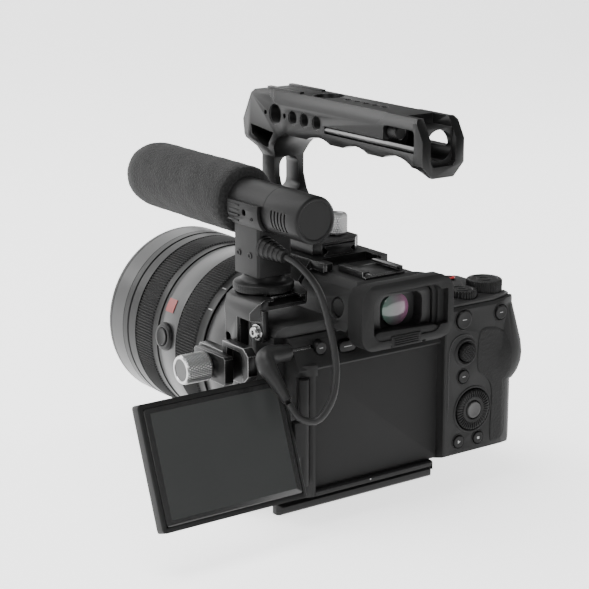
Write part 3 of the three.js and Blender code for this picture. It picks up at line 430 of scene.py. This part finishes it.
# ------------------------------------------------------------------------ lens
LC = (0, 42.5)
# the picked rows of the rear, middle and front shells get the lighter copy, a painted highlight band
instead(lathe("lens_rear_shell", "y", LC, [(33, 45), (35, 45), (36, 49), (37.2, 53), (39.2, 58.6), (40.8, 64), (41.15, 70), (41.4, 79.4), (41.2, 79.7), (37.8, 79.7), (37.8, 66), (33, 54)], "barrel", "rig", 160, closed=True, mats=["barrel", "barrel_painted_highlight"], pick=lambda i: 1 if i in (5, 6) else 0), "lens_rear_barrel")
zp = [(37.8, 80), (41.9, 80), (42.1, 80.2), (42.1, 85.5), (42.3, 85.9), (43.05, 86.3)] + [(43.1, 86.8), (43.1, 101.4)] + [(43.0, 101.8), (42.4, 102), (37.8, 102)]
instead(lathe("zoom_grip", "y", LC, zp, "ring", "zoom_ring", 1152, mod=ribs(192, 0.7, (5, 6, 7, 8)), closed=True, mats=["ring", "barrel"], pick=lambda i: 1 if i in (1, 2) else 0), "zoom_ring")
fp = [(37.8, 119.3), (42.4, 119.3), (42.6, 119.5), (42.6, 123.5), (42.7, 123.9), (43.35, 124.3)] + [(43.4, 124.8), (43.4, 138)] + [(43.3, 138.4), (42.8, 138.6), (37.8, 138.6)]
instead(lathe("focus_grip", "y", LC, fp, "ring", "focus_ring", 1152, mod=ribs(192, 0.7, (5, 6, 7, 8)), closed=True, mats=["ring", "barrel"], pick=lambda i: 1 if i in (1, 2) else 0), "focus_ring")
instead(lathe("lens_mid_shell", "y", LC, [(35.2, 66.4), (37.4, 66.4), (37.4, 102.3), (42.5, 102.3), (42.7, 102.5), (42.7, 115.2), (42.55, 115.5), (42.2, 118.8), (42.0, 119), (37.4, 119), (37.4, 150), (35.2, 150)], "barrel", "rig", 160, closed=True, mats=["barrel", "barrel_painted_highlight"], pick=lambda i: 1 if i in (3, 4, 5) else 0), "lens_mid_barrel")
# rows 4, 10 and 11, the grooves of the front shell, take the near-black material: painted shade
instead(lathe("lens_front_shell", "y", LC, [(37.8, 138.9), (43.1, 138.9), (43.3, 139.1), (43.3, 145.2), (42.8, 145.6), (42.8, 145.9), (43.5, 146.4), (43.5, 150.3), (43.32, 150.5), (43.5, 150.7), (43.5, 161.6), (43.2, 161.75), (43.5, 161.9), (43.5, 163.6), (43.1, 164.6), (42.6, 165), (41.2, 165)] + [(41.2 - (0.3 if k % 2 else 0), 164.6 - 0.5 * k) for k in range(12)] + [(41.0, 157.4), (37.8, 150.6)], "barrel", "rig", 160, closed=True, mats=["barrel", "barrel_painted_highlight", "painted_shade_fill"], pick=lambda i: 2 if i in (4, 10, 11) else (1 if i in (9,) else 0)), "lens_front_barrel")
instead(lathe("front_glass", "y", LC, [(0, 145), (34.8, 145), (34.8, 149), (32.5, 151), (28, 153.2), (21, 155.1), (14, 156.4), (7, 157.1), (0, 157.3)], "front", "rig", 96), "front_element")

HA = math.radians(6.6)
def out_of_lens(h, y=111.9):
    """Turns a piece built along -X at the lens axis up to its place on the barrel's left side."""
    def f(p):
        x, yy, z = p
        return (x * math.cos(HA) + z * math.sin(HA), yy + y, -x * math.sin(HA) + z * math.cos(HA) + 42.5)
    return f
lathe("hold_boss", "x", (0, 0), [(4.5, -41.4), (4.5, -44.3), (4.9, -44.4), (5.9, -44.3), (6.4, -43.9), (6.8, -42.6), (6.9, -41.4)], "barrel", "rig", 48, closed=True, xf=out_of_lens(0))
instead(lathe("hold_cap", "x", (0, 0), [(0, -40.7), (4.1, -40.7), (4.1, -44.5), (3.7, -44.9), (2.6, -44.75), (0, -44.6)], "button", "focus_hold_button", 48, xf=out_of_lens(0)), "focus_hold_button")

def on_barrel(name, deg, half_y, half_deg, y, r0, r1, mat, body="rig", n=8):
    """A thin curved plate lying on the barrel."""
    V, F = [], []
    for r in (r0, r1):
        for k in range(n + 1):
            t = math.radians(deg - half_deg + 2 * half_deg * k / n)
            for yy in (y - half_y, y + half_y):
                V.append((r * math.cos(t), yy, 42.5 + r * math.sin(t)))
    m = 2 * (n + 1)
    for k in range(n):
        a = 2 * k
        F += [(a, a + 1, a + 3, a + 2), (m + a, m + a + 2, m + a + 3, m + a + 1), (a, a + 2, m + a + 2, m + a), (a + 1, m + a + 1, m + a + 3, a + 3)]
    F += [(0, m, m + 1, 1), (2 * n, 2 * n + 1, m + 2 * n + 1, m + 2 * n)]
    return obj(name, V, F, mat, body)
on_barrel("plain_badge", 153, 3.3, 4.4, 112.4, 42.6, 42.95, "badge")
on_barrel("index_line", 95, 2.2, 0.5, 105.4, 42.6, 42.78, "mark")
for k, d in enumerate((70, 82, 96, 112, 130, 146)):
    on_barrel(f"zoom_tick_{k}", d, 1.5, 0.35, 83, 42.0, 42.18, "mark", "zoom_ring", 2)

# ------------------------------------------------------------------ microphone
mc = (-40.5, 125)
def foam_shape(i, t, r, a):
    return r + 0.12 * math.sin(7 * t + a * 0.31) * math.sin(3 * t - a * 0.17) + 0.05 * math.sin(31 * t + 1.7 * a)
foam_prof = [(8.4, 43.2), (13.0, 43.2), (14.4, 43.9), (15.0, 45.2)] + [(15.0, 49 + 67 * k / 40) for k in range(41)] + [(14.6, 119), (14.0, 122), (12.9, 124.8), (11.2, 127.1), (9.2, 128.9), (6.4, 130.2), (3.2, 130.9), (0, 131.1)]
fo = lathe("foam_sleeve", "y", mc, foam_prof + [(0, 118.4), (8.4, 118.4), (8.4, 43.2)], "foam", "mic_foam", 120, mod=lambda i, t, r, a: foam_shape(i, t, r, a) if 1 < i < 50 else r)
instead(fo, "mic_foam")


def cutout(o, cutters):
    for k, c in enumerate(cutters):
        m = o.modifiers.new(f"cut{k}", "BOOLEAN"); m.object, m.operation, m.solver = c, "DIFFERENCE", "EXACT"
        o.modifiers.move(len(o.modifiers) - 1, k)
    bpy.context.view_layer.update()
    dg = bpy.context.evaluated_depsgraph_get()
    me = bpy.data.meshes.new_from_object(o.evaluated_get(dg), depsgraph=dg)
    o.modifiers.clear(); o.data = me
    for c in cutters:
        bpy.data.objects.remove(c)
    smooth(o)


tube = lathe("mic_barrel", "y", mc, [(0, -7.55), (8.1, -7.55), (8.35, -7.9), (9.0, -8), (9.9, -7.5), (10.2, -6.8), (10.2, 16.0), (10.08, 16.15), (10.2, 16.3), (10.2, 42.9), (8, 42.9), (8, 118), (0, 118)], "mic", "rig", 96)
slits = []
for k in range(5):
    y = 0.3 + 2.4 * k
    slits.append(prism(f"slit{k}", "x", rounded(y - 0.5, y + 0.5, 119.2, 127.6, 0.49, 4), -52, -48.4, "painted_shade_fill", "rig"))
cutout(tube, slits)
instead(tube, "mic_tube")
instead(lathe("lock_ring", "z", (-40.5, 30.8), [(3.4, 88.2), (12.4, 88.2), (13.1, 88.5), (13.35, 89.1), (13.35, 91.1), (12.9, 91.7), (12.2, 92.05), (10.4, 92.35), (9.7, 92.9), (9.1, 94.2), (8.8, 95.1), (3.4, 95.1)], "mic", "mic_lock_ring", 180, mod=ribs(60, 0.16, (3, 4)), closed=True), "mic_lock_ring")

for k, z in enumerate((126.2, 124.0, 121.8, 119.6)):
    prism(f"clip_ridge_{k}", "x", rounded(31.4, 39.6, z - 0.45, z + 0.45, 0.4, 3), -52.85, -52.3, "mic", "rig", 0.12)
lathe("lug_flange", "x", (16, 74), [(2.75, -54.4), (3.5, -54.4), (3.7, -54.2), (3.7, -53.7), (2.75, -53.7)], "steel", "rig", 48, closed=True)

# ribbed strain relief on the microphone mount
a0, a1 = Vector((-45.9, 22.6, 109)), Vector((-43, 10.8, 106.6))
sr = [a0.lerp(a1, k / 60) for k in range(61)]
sweep("strain_relief", sr, lambda t: 4.75 - 2.2 * t + (0.32 if (t * 5.5) % 1 < 0.55 else -0.1), "cable", "rig", 28)


def screw(name, axis, c, a, r, h, mat, body, sign=1, socket=0.55):
    """A round-headed screw with a hexagon socket; its head faces the sign side of axis."""
    o = lathe(name, axis, c, [(0, a - sign * 0.3), (r, a - sign * 0.3), (r, a + sign * (h - 0.15)), (r - 0.2, a + sign * h), (0, a + sign * h)], mat, body, 28)
    hexa = [(c[0] + r * socket * math.cos(math.pi * k / 3), c[1] + r * socket * math.sin(math.pi * k / 3)) for k in range(6)]
    lo, hi = sorted((a + sign * h * 0.25, a + sign * (h + 1)))
    cutout(o, [prism(name + "_hex", axis, hexa, lo, hi, "painted_shade_fill", body)])
    return o


for k, y in enumerate((36.3, 27.8)):
    screw(f"mount_screw_{k}", "x", (y, 104.4), -49.4, 1.5, 0.35, "button", "rig", -1)
for k, (y, z) in enumerate(((22.3, 125.2), (22.3, 121.6))):
    screw(f"clip_screw_{k}", "x", (y, z), -52.35, 0.85, 0.3, "button", "rig", -1)
for k, (y, z) in enumerate(((31.5, 20), (31.5, 10))):
    screw(f"post_screw_{k}", "x", (y, z), -57.0, 1.5, 0.3, "button", "rig", -1)

# ----------------------------------------------------------- knobs and dials
kn = [(0, -80.5), (4.8, -80.5), (4.95, -80.8), (5.9, -80.8)] + steps(6.6, -80.1, -68.6, 44) + [(6, -68), (4.2, -68), (4.2, -66.9), (2.0, -66.9), (2.0, -58.2), (0, -58.2)]
instead(lathe("clamp_grip", "x", (35, 57), kn, "silver", "clamp_knob", 216, mod=knurl(36, 0.5, 2.3, range(4, 49)), mats=["silver", "knob_face"], pick=lambda i: 1 if i == 0 else 0), "clamp_knob")
nk = [(0, 104.3), (3.6, 104.3), (3.6, 104.9), (5.0, 104.9)] + steps(5.4, 105.2, 112.9, 34) + [(4.7, 113.6), (3.3, 113.6), (3.1, 113.3), (0, 113.3)]
instead(lathe("rail_grip", "z", (6.6, 42), nk, "silver", "nato_knob", 180, mod=knurl(30, 0.42, 2.2, range(4, 39))), "nato_knob")


def dial(name, node, axis, c, r, a0, a1, count, depth, mat="plastic", dish=0.35):
    prof = [(0, a0), (r - 0.2, a0), (r, a0 + 0.2), (r, a1 - 0.75), (r - 0.25, a1 - 0.3), (r - 0.8, a1), (r - 1.9, a1), (r - 2.2, a1 - dish), (0, a1 - dish)]
    return instead(lathe(name, axis, c, prof, mat, node, count * 6, mod=ribs(count, depth, (2, 3, 4))), node)


dial("mode_dial_cap", "mode_dial", "z", (36.6, 21.8), 8.5, 75.8, 84.3, 48, 0.35)
dial("ev_dial_cap", "ev_dial", "z", (65.3, 6.9), 8.3, 76, 82, 60, 0.3)
dial("rear_dial_cap", "rear_dial", "z", (50, 4.5), 6.9, 75, 79.8, 30, 0.6)
dial("front_dial_cap", "front_dial", "z", (62, 52.6), 7.6, 59, 67.4, 36, 0.55)
instead(lathe("diopter_cap", "x", (4.5, 82), [(0, -19.6), (3.7, -19.6), (4.3, -19), (4.3, -15.8), (0, -15.8)], "plastic", "diopter_dial", 144, mod=ribs(24, 0.3, (2, 3))), "diopter_dial")
instead(lathe("shutter_cap", "z", (65.6, 47), [(0, 71), (4.7, 71), (4.8, 71.2), (4.8, 73.7), (4.55, 74.2), (4.1, 74.42), (2.4, 74.2), (0, 74.05)], "button", "shutter_button", 64), "shutter_button")
instead(lathe("record_cap", "z", (63.5, 29.5), [(0, 74.6), (2.9, 74.6), (2.9, 77.8), (2.7, 78.15), (2.2, 78.3), (1.5, 78.25), (1.35, 78.1), (0, 78.0)], "red", "button_rec", 48, mats=["red", "button"], pick=lambda i: 0 if i in (2, 3, 4) else 1), "button_rec")
for k in range(7):
    t = 2 * math.pi * k / 7
    lathe(f"mode_tick_{k}", "z", (36.6 + 5.6 * math.cos(t), 21.8 + 5.6 * math.sin(t)), [(0, 83.7), (0.4, 83.7), (0.4, 84.03), (0, 84.03)], "mark", "mode_dial", 16)
lathe("ev_hub", "z", (65.3, 6.9), [(2.0, 81.4), (2.2, 81.95), (3.4, 81.98), (3.7, 81.4)], "plastic", "ev_dial", 64, closed=True)
lathe("rear_hub", "z", (50, 4.5), [(1.6, 79.2), (1.8, 79.7), (3.0, 79.75), (3.3, 79.2)], "plastic", "rear_dial", 64, closed=True)



def cap(name, node, c, r, y0, y1, mat="button", dish=0.12):
    prof = [(0, y0 + dish), (r - 0.9, y0 + dish * 0.4), (r - 0.55, y0), (r - 0.2, y0 + 0.12), (r, y0 + 0.45), (r, y1), (0, y1)]
    return instead(lathe(name, "y", c, prof, mat, node, 56), node)


cap("fn_cap", "button_fn", (43.3, 41.9), 3.0, -6.2, -2.8)
cap("play_cap", "button_play", (41.2, 11.3), 2.9, -6.2, -2.8)
cap("delete_cap", "button_delete", (52.8, 11.1), 2.8, -6.2, -2.8)
cap("af_on_cap", "button_af_on", (42.8, 68.7), 4.25, -6.5, -2.8)
cap("ael_cap", "button_ael", (64.8, 68.7), 3.3, -6.3, -2.8)
cap("c3_cap", "button_c3", (-31.3, 66.7), 2.85, 0.6, 5.8)
# the centre button is painted lighter grey: painted reflection
cap("wheel_centre", "wheel_button", (49.3, 25.3), 3.9, -7.0, -2.4, "centre_painted_reflection", 0.25)
wp = [(4.3, -6.2), (4.6, -6.42)] + [(4.9 + 0.5 * k, -6.45 - 0.03 * k) for k in range(8)] + [(8.9, -6.6), (9.4, -6.35), (9.6, -5.9), (9.6, -2.6), (4.3, -2.6)]
wh = lathe("wheel_ring", "y", (49.3, 25.3), wp, "button", "control_wheel", 240, closed=True)
me = wh.data      # teeth on the wheel's outer half
for v in me.vertices:
    x, z = v.co.x * 1000 - 49.3, v.co.z * 1000 - 12 - 25.3
    rr, t = math.hypot(x, z), math.atan2(z, x)
    if rr > 6.3 and v.co.y * 1000 + 40 < -5.0:
        v.co.y += 0.00042 * max(0, min(1, 0.5 + 1.8 * tri(t * 40)))
instead(wh, "control_wheel")

# joystick: a knurled mushroom in a raised collar
jc = (44.6, 53.2)
jp = [(0, -8.4)] + [(0.13 * k, -8.4 + 0.0004 * k * k) for k in range(1, 27)] + [(3.65, -8.1), (3.88, -7.8), (4, -7.4), (4, -5.7), (2.2, -5.2), (2.2, -1.0), (0, -1.0)]
stick = lathe("stick_cap", "y", jc, jp, "rubber", "joystick", 160)
for v in stick.data.vertices:
    x, z, y = v.co.x * 1000 - jc[0], v.co.z * 1000 - 12 - jc[1], v.co.y * 1000 + 40
    if y < -7.3:
        v.co.y += 0.0004 * max(0, min(1, 0.5 + 1.2 * max(tri((x + z) * 3.6), tri((x - z) * 3.6))))
instead(stick, "joystick")
lathe("stick_collar", "y", jc, [(4.75, -5.4), (5.3, -6.1), (5.8, -6.2), (6.3, -5.9), (6.6, -5.45), (6.6, -5.3), (4.75, -5.3)], "body", "rig", 64, closed=True)
lathe("wheel_collar", "y", (49.3, 25.3), [(10.15, -5.4), (10.25, -5.75), (10.6, -5.85), (11.0, -5.75), (11.2, -5.45), (11.2, -5.3), (10.15, -5.3)], "body", "rig", 96, closed=True)
for nm, c, r in (("fn", (43.3, 41.9), 3.3), ("play", (41.2, 11.3), 3.2), ("delete", (52.8, 11.1), 3.1), ("af_on", (42.8, 68.7), 4.55), ("ael", (64.8, 68.7), 3.6)):
    lathe(nm + "_collar", "y", c, [(r + 0.05, -5.42), (r + 0.2, -5.72), (r + 0.45, -5.72), (r + 0.65, -5.42), (r + 0.65, -5.3), (r + 0.05, -5.3)], "body", "rig", 56, closed=True)

# --------------------------------------------------- rubber thumb rest, recess
from mathutils.bvhtree import BVHTree
rc = N["rear_cover"]
tree = BVHTree.FromPolygons([rc.matrix_world @ v.co for v in rc.data.vertices], [tuple(p.vertices) for p in rc.data.polygons])


def back_y(x, z):
    """Where the camera's back surface lies at (x, z)."""
    o = Vector(P((x, -30, z)))
    h = tree.ray_cast(o, Vector((0, 1, 0)), 0.06)[0]
    return h.y * 1000 + 40 if h else -5.0


def outline_points(poly, n):
    pts = [Vector((a, b, 0)) for a, b in poly]
    pts.append(pts[0])
    cum = [0.0]
    for a, b in zip(pts, pts[1:]):
        cum.append(cum[-1] + (b - a).length)
    out = []
    for k in range(n):
        s = cum[-1] * k / n
        i = min(max(int(np.searchsorted(cum, s, side="right")), 1), len(pts) - 1)
        out.append(pts[i - 1].lerp(pts[i], (s - cum[i - 1]) / max(cum[i] - cum[i - 1], 1e-9)))
    for _ in range(3):          # round the corners
        out = [(out[k - 1] + out[k] * 2 + out[(k + 1) % n]) / 4 for k in range(n)]
    return out


pad = outline_points([(59.2, 36.5), (56.2, 40.2), (52.2, 42.4), (51.3, 46), (51.6, 57), (52.4, 62), (56, 63.4), (62, 62.6), (67.2, 60), (69.6, 56), (70.2, 50), (70.2, 40), (69.8, 26), (70.0, 12), (69.4, 7.6), (64, 6.9), (60.2, 6.9), (60, 14), (60.4, 25), (60.6, 32)], 132)
edge = [Vector((x, back_y(x, z) + 0.12, z)) for x, z in ((34.6, 22), (34.6, 30), (34.6, 38), (34.6, 46), (34.7, 52), (35.2, 56), (36.8, 59.4), (39.6, 61.2), (43.4, 61.6), (47.2, 60.6), (49.4, 58.4))]
sweep("panel_edge_line", catmull(edge, 60)[0], lambda t: 0.45 * min(1, 8 * t + 0.2, 8 * (1 - t) + 0.2), "plastic", "rig", 12)
cen = Vector((64.6, 36, 0))
V, F, RN = [], [], 34
for i in range(RN + 1):
    f = 1 - i / RN
    for p in pad:
        q = cen + (p - cen) * max(f, 0.002)
        near = [back_y(q.x + a, q.y + b) for a in (-1.2, 0, 1.2) for b in (-1.2, 0, 1.2)]
        V.append((q.x, min(sum(near) / 9, back_y(q.x, q.y)) - (0.34 if i else -0.1), q.y))
n = len(pad)
for i in range(RN):
    F += [(i * n + k, i * n + (k + 1) % n, (i + 1) * n + (k + 1) % n, (i + 1) * n + k) for k in range(n)]
F.append(tuple(range(RN * n, (RN + 1) * n)))
base = len(V)             # closed behind, so the pad is a solid skin
V += [(p.x, back_y(p.x, p.y) + 0.6, p.y) for p in pad]
F += [(k, base + k, base + (k + 1) % n, (k + 1) % n) for k in range(n)]
F.append(tuple(base + k for k in range(n)))
thumb = obj("thumb_rubber", V, F, "leather", "rig")

prism("recess_plate", "y", rounded(-35.6, 32.1, 4.8, 58.1, 0.8), -0.28, 0.05, "recess", "rig", 0.08)
# finder tab under the eyecup, its ribs
for k in range(4):
    prism(f"eyecup_tab_rib_{k}", "z", [(-7.4, -19.85), (5.6, -19.85), (5.6, -19.3), (-7.4, -19.3)], 68.3 + 0.95 * k, 68.75 + 0.95 * k, "rubber", "rig", 0.08)
prism("cage_rest_pad", "y", rounded(-14.5, 15.5, 91.6, 94.95, 0.8), 27.0, 31.5, "rubber", "rig", 0.2)
prism("eyecup_lip", "y", [(-18.0, 71.0), (17.4, 71.0), (17.4, 73.2), (14.5, 74.4), (-14.5, 75.5), (-17.0, 75.0), (-18.0, 73.6)], -18.9, -15.4, "rubber", "rig", 0.6)
prism("eyecup_tab", "y", rounded(-8.9, 7.2, 67.6, 72.6, 0.5), -19.45, -18.2, "rubber", "rig", 0.25)
# a near-black block where the eyecup notch is: painted shade
prism("eyecup_notch", "y", rounded(8.3, 9.9, 67.4, 71.4, 0.4), -19.04, -18.4, "painted_shade_fill", "rig", 0.1)
instead(lathe("finder_glass", "y", (0, 81.4), [(0, -11.6), (2.2, -11.52), (4.2, -11.25), (6.0, -10.8), (7.1, -10.2), (7.1, -8.7), (0, -8.7)], "finder", "rig", 72), "eyepiece_lens")

# ---------------------------------------------------------------------- screen
TA = math.radians(-20.8)
def tilted(p):
    x, y, z = p
    y, z = y + 2.75, z - 31.7
    return (x, y * math.cos(TA) - z * math.sin(TA) - 2.75, y * math.sin(TA) + z * math.cos(TA) + 31.7)
near, far, zl, zh = -49.1, -49.1 - 70.8, 31.7 - 26.4, 31.7 + 26.4
gl = prism("screen_window", "y", rounded(far + 2.3, near - 1.9, zl + 2.3, zh - 2.3, 1.2), -4.95, -4.25, "bezel", "screen", 0.08, xf=tilted)
instead(gl, "screen_glass")
ac = prism("screen_area", "y", rounded(far + 5.0, near - 4.4, zl + 4.6, zh - 4.4, 0.3), -4.99, -4.9, "lcd", "screen", 0, xf=tilted)

# --------------------------------------------------------------- handle details
def thread(name, c, r, depth, body="top_handle"):
    prof = []
    k = 0
    while k * 0.5 < depth:
        prof.append((r - 0.08, -10.5 + k * 0.5)); prof.append((r - 0.5, -10.25 + k * 0.5)); k += 1
    prof += [(r - 0.08, -10.5 + depth), (r + 0.02, -10.5 + depth), (r + 0.02, -10.5)]
    return lathe(name, "x", c, prof, "anodised", body, 40, closed=True)
thread("thread_large", (64.5, 157.2), 4.75, 7)
for k, y in enumerate((51.1, 42.2, 33)):
    thread(f"thread_small_{k}", (y, 157.2), 3.25, 7)
def rim(name, axis, c, r, a, body, out, sign, mat="anod_edge"):
    return lathe(name, axis, c, [(r - 0.05, a - sign * 0.3), (r - 0.05, a + sign * 0.02), (r + out, a + sign * 0.06), (r + out, a - sign * 0.3)], mat, body, 48, closed=True)
for k, (y, r) in enumerate(((64.5, 4.75), (51.1, 3.25), (42.2, 3.25), (33, 3.25), (72.1, 1.2), (57.2, 1.2))):
    rim(f"hole_rim_{k}", "x", (y, 157.2), r, -10.8, "top_handle", 0.35, -1, "anodised")
# the rims round the top holes take the lighter edge colour, a painted highlight
rim("top_hole_rim", "z", (0, 38.6), 7.0, 167.6, "top_handle", 0.4, 1)
for k, y in enumerate((24.6, 18.2, 11.8, 5.4, -1)):
    rim(f"top_rim_{k}", "z", (0, y), 1.6, 167.6, "top_handle", 0.3, 1)
rim("bore_rim", "y", (0, 156.2), 6.6, -37.2, "top_handle", 0.35, -1, "anodised")
rp = [(0, -20.6), (2.5, -20.6), (2.9, -20.2)] + steps(2.9, -20.0, -14.9, 20) + [(2.7, -14.7), (1.45, -14.7), (1.45, -4), (0, -4)]
instead(lathe("rod_screw_grip", "y", (-6.6, 159.7), rp, "anodised", "rod_screw", 120, mod=knurl(20, 0.25, 1.6, range(3, 24))), "rod_screw")

# -------------------------------------------------- plain marks, not lettering
def dot(name, x, z, y, r=0.45, body="rig"):
    return lathe(name, "y", (x, z), [(0, y - 0.06), (r, y - 0.06), (r, y + 0.3), (0, y + 0.3)], "mark", body, 20)
dot("sensor_dot", -7.2, 3.2, -3.35, 0.4)
def mark(name, pts, y, body="rig", d=0.07):
    return prism(name, "y", pts, y - d, y + 0.25, "mark", body)
mark("play_mark", [(40.6, 10.5), (42.1, 11.3), (40.6, 12.1)], -6.13, "button_play")
mark("delete_mark", [(52.2, 10.4), (53.4, 10.4), (53.5, 11.6), (52.1, 11.6)], -6.1, "button_delete")
mark("af_bar", [(41.6, 68.55), (44.0, 68.55), (44.0, 68.85), (41.6, 68.85)], -6.43, "button_af_on")
mark("fn_bar", [(42.5, 41.75), (44.1, 41.75), (44.1, 42.05), (42.5, 42.05)], -6.12, "button_fn")
mark("c3_bar", [(-32.2, 66.55), (-30.4, 66.55), (-30.4, 66.85), (-32.2, 66.85)], 0.67, "button_c3")
mark("menu_bar", [(-19.4, 65.15), (-15.4, 65.15), (-15.4, 65.45), (-19.4, 65.45)], 0.28, "button_menu")
mark("ael_bar", [(64.0, 68.55), (65.6, 68.55), (65.6, 68.85), (64.0, 68.85)], -6.22, "button_ael")
lathe("zoom_ring_mark", "y", (49.4, 72.4), [(0.75, -5.15), (1.1, -5.15), (1.1, -4.5), (0.75, -4.5)], "mark", "rig", 24, closed=True)

# --------------------------------------------------------------- stage and light
def stage():
    me = bpy.data.meshes.new("floor")
    prof = [(-3, 0.0), (1.2, 0.0)] + [(1.2 + 0.9 * math.sin(math.pi / 2 * k / 16), 0.9 - 0.9 * math.cos(math.pi / 2 * k / 16)) for k in range(1, 17)] + [(2.1, 4)]
    V, F = [], []
    for y, z in prof:
        V += [(-5, y, z - 0.0002), (5, y, z - 0.0002)]
    F = [(2 * i, 2 * i + 1, 2 * i + 3, 2 * i + 2) for i in range(len(prof) - 1)]
    me.from_pydata(V, [], F)
    for p in me.polygons:
        p.use_smooth = True
    m = bpy.data.materials.new("pale_floor"); m.use_nodes = True
    nt = m.node_tree; b = nt.nodes["Principled BSDF"]; b.inputs["Roughness"].default_value = 0.9; b.inputs["Specular IOR Level"].default_value = 0.1
    b.inputs["Emission Color"].default_value = (1, 1, 1, 1); b.inputs["Emission Strength"].default_value = 1.75
    no = nt.nodes.new("ShaderNodeTexNoise"); no.inputs["Scale"].default_value = 6
    r = nt.nodes.new("ShaderNodeValToRGB"); r.color_ramp.elements[0].color = (0.86, 0.86, 0.86, 1); r.color_ramp.elements[1].color = (0.9, 0.9, 0.9, 1)
    nt.links.new(no.outputs["Fac"], r.inputs["Fac"]); nt.links.new(r.outputs["Color"], b.inputs["Base Color"])
    me.materials.append(m)
    o = bpy.data.objects.new("floor", me)
    bpy.context.scene.collection.objects.link(o)
    o.rotation_euler = (0, 0, math.radians(35))


stage()
w = bpy.data.worlds.new("studio"); bpy.context.scene.world = w; w.use_nodes = True
w.node_tree.nodes["Background"].inputs[0].default_value = (1, 1, 1, 1)
w.node_tree.nodes["Background"].inputs[1].default_value = 0.2


def area(name, loc, size, power, at=(0, 0.02, 0.08)):
    l = bpy.data.lights.new(name, "AREA"); l.shape = "RECTANGLE"; l.size, l.size_y, l.energy = size[0], size[1], power
    o = bpy.data.objects.new(name, l)
    bpy.context.scene.collection.objects.link(o)
    o.location = loc
    o.rotation_euler = (Vector(at) - Vector(loc)).to_track_quat("-Z", "Y").to_euler()


area("key_front_left", (-0.75, 1.3, 1.05), (0.25, 0.9), 5, (0, 0, 0.1))
area("top_soft", (-0.35, 0.1, 1.3), (0.8, 0.8), 17)
area("back_left_soft", (-0.35, -1.3, 0.75), (0.6, 0.6), 5)
area("right_rim", (1.1, 0.1, 0.5), (0.4, 0.9), 5)
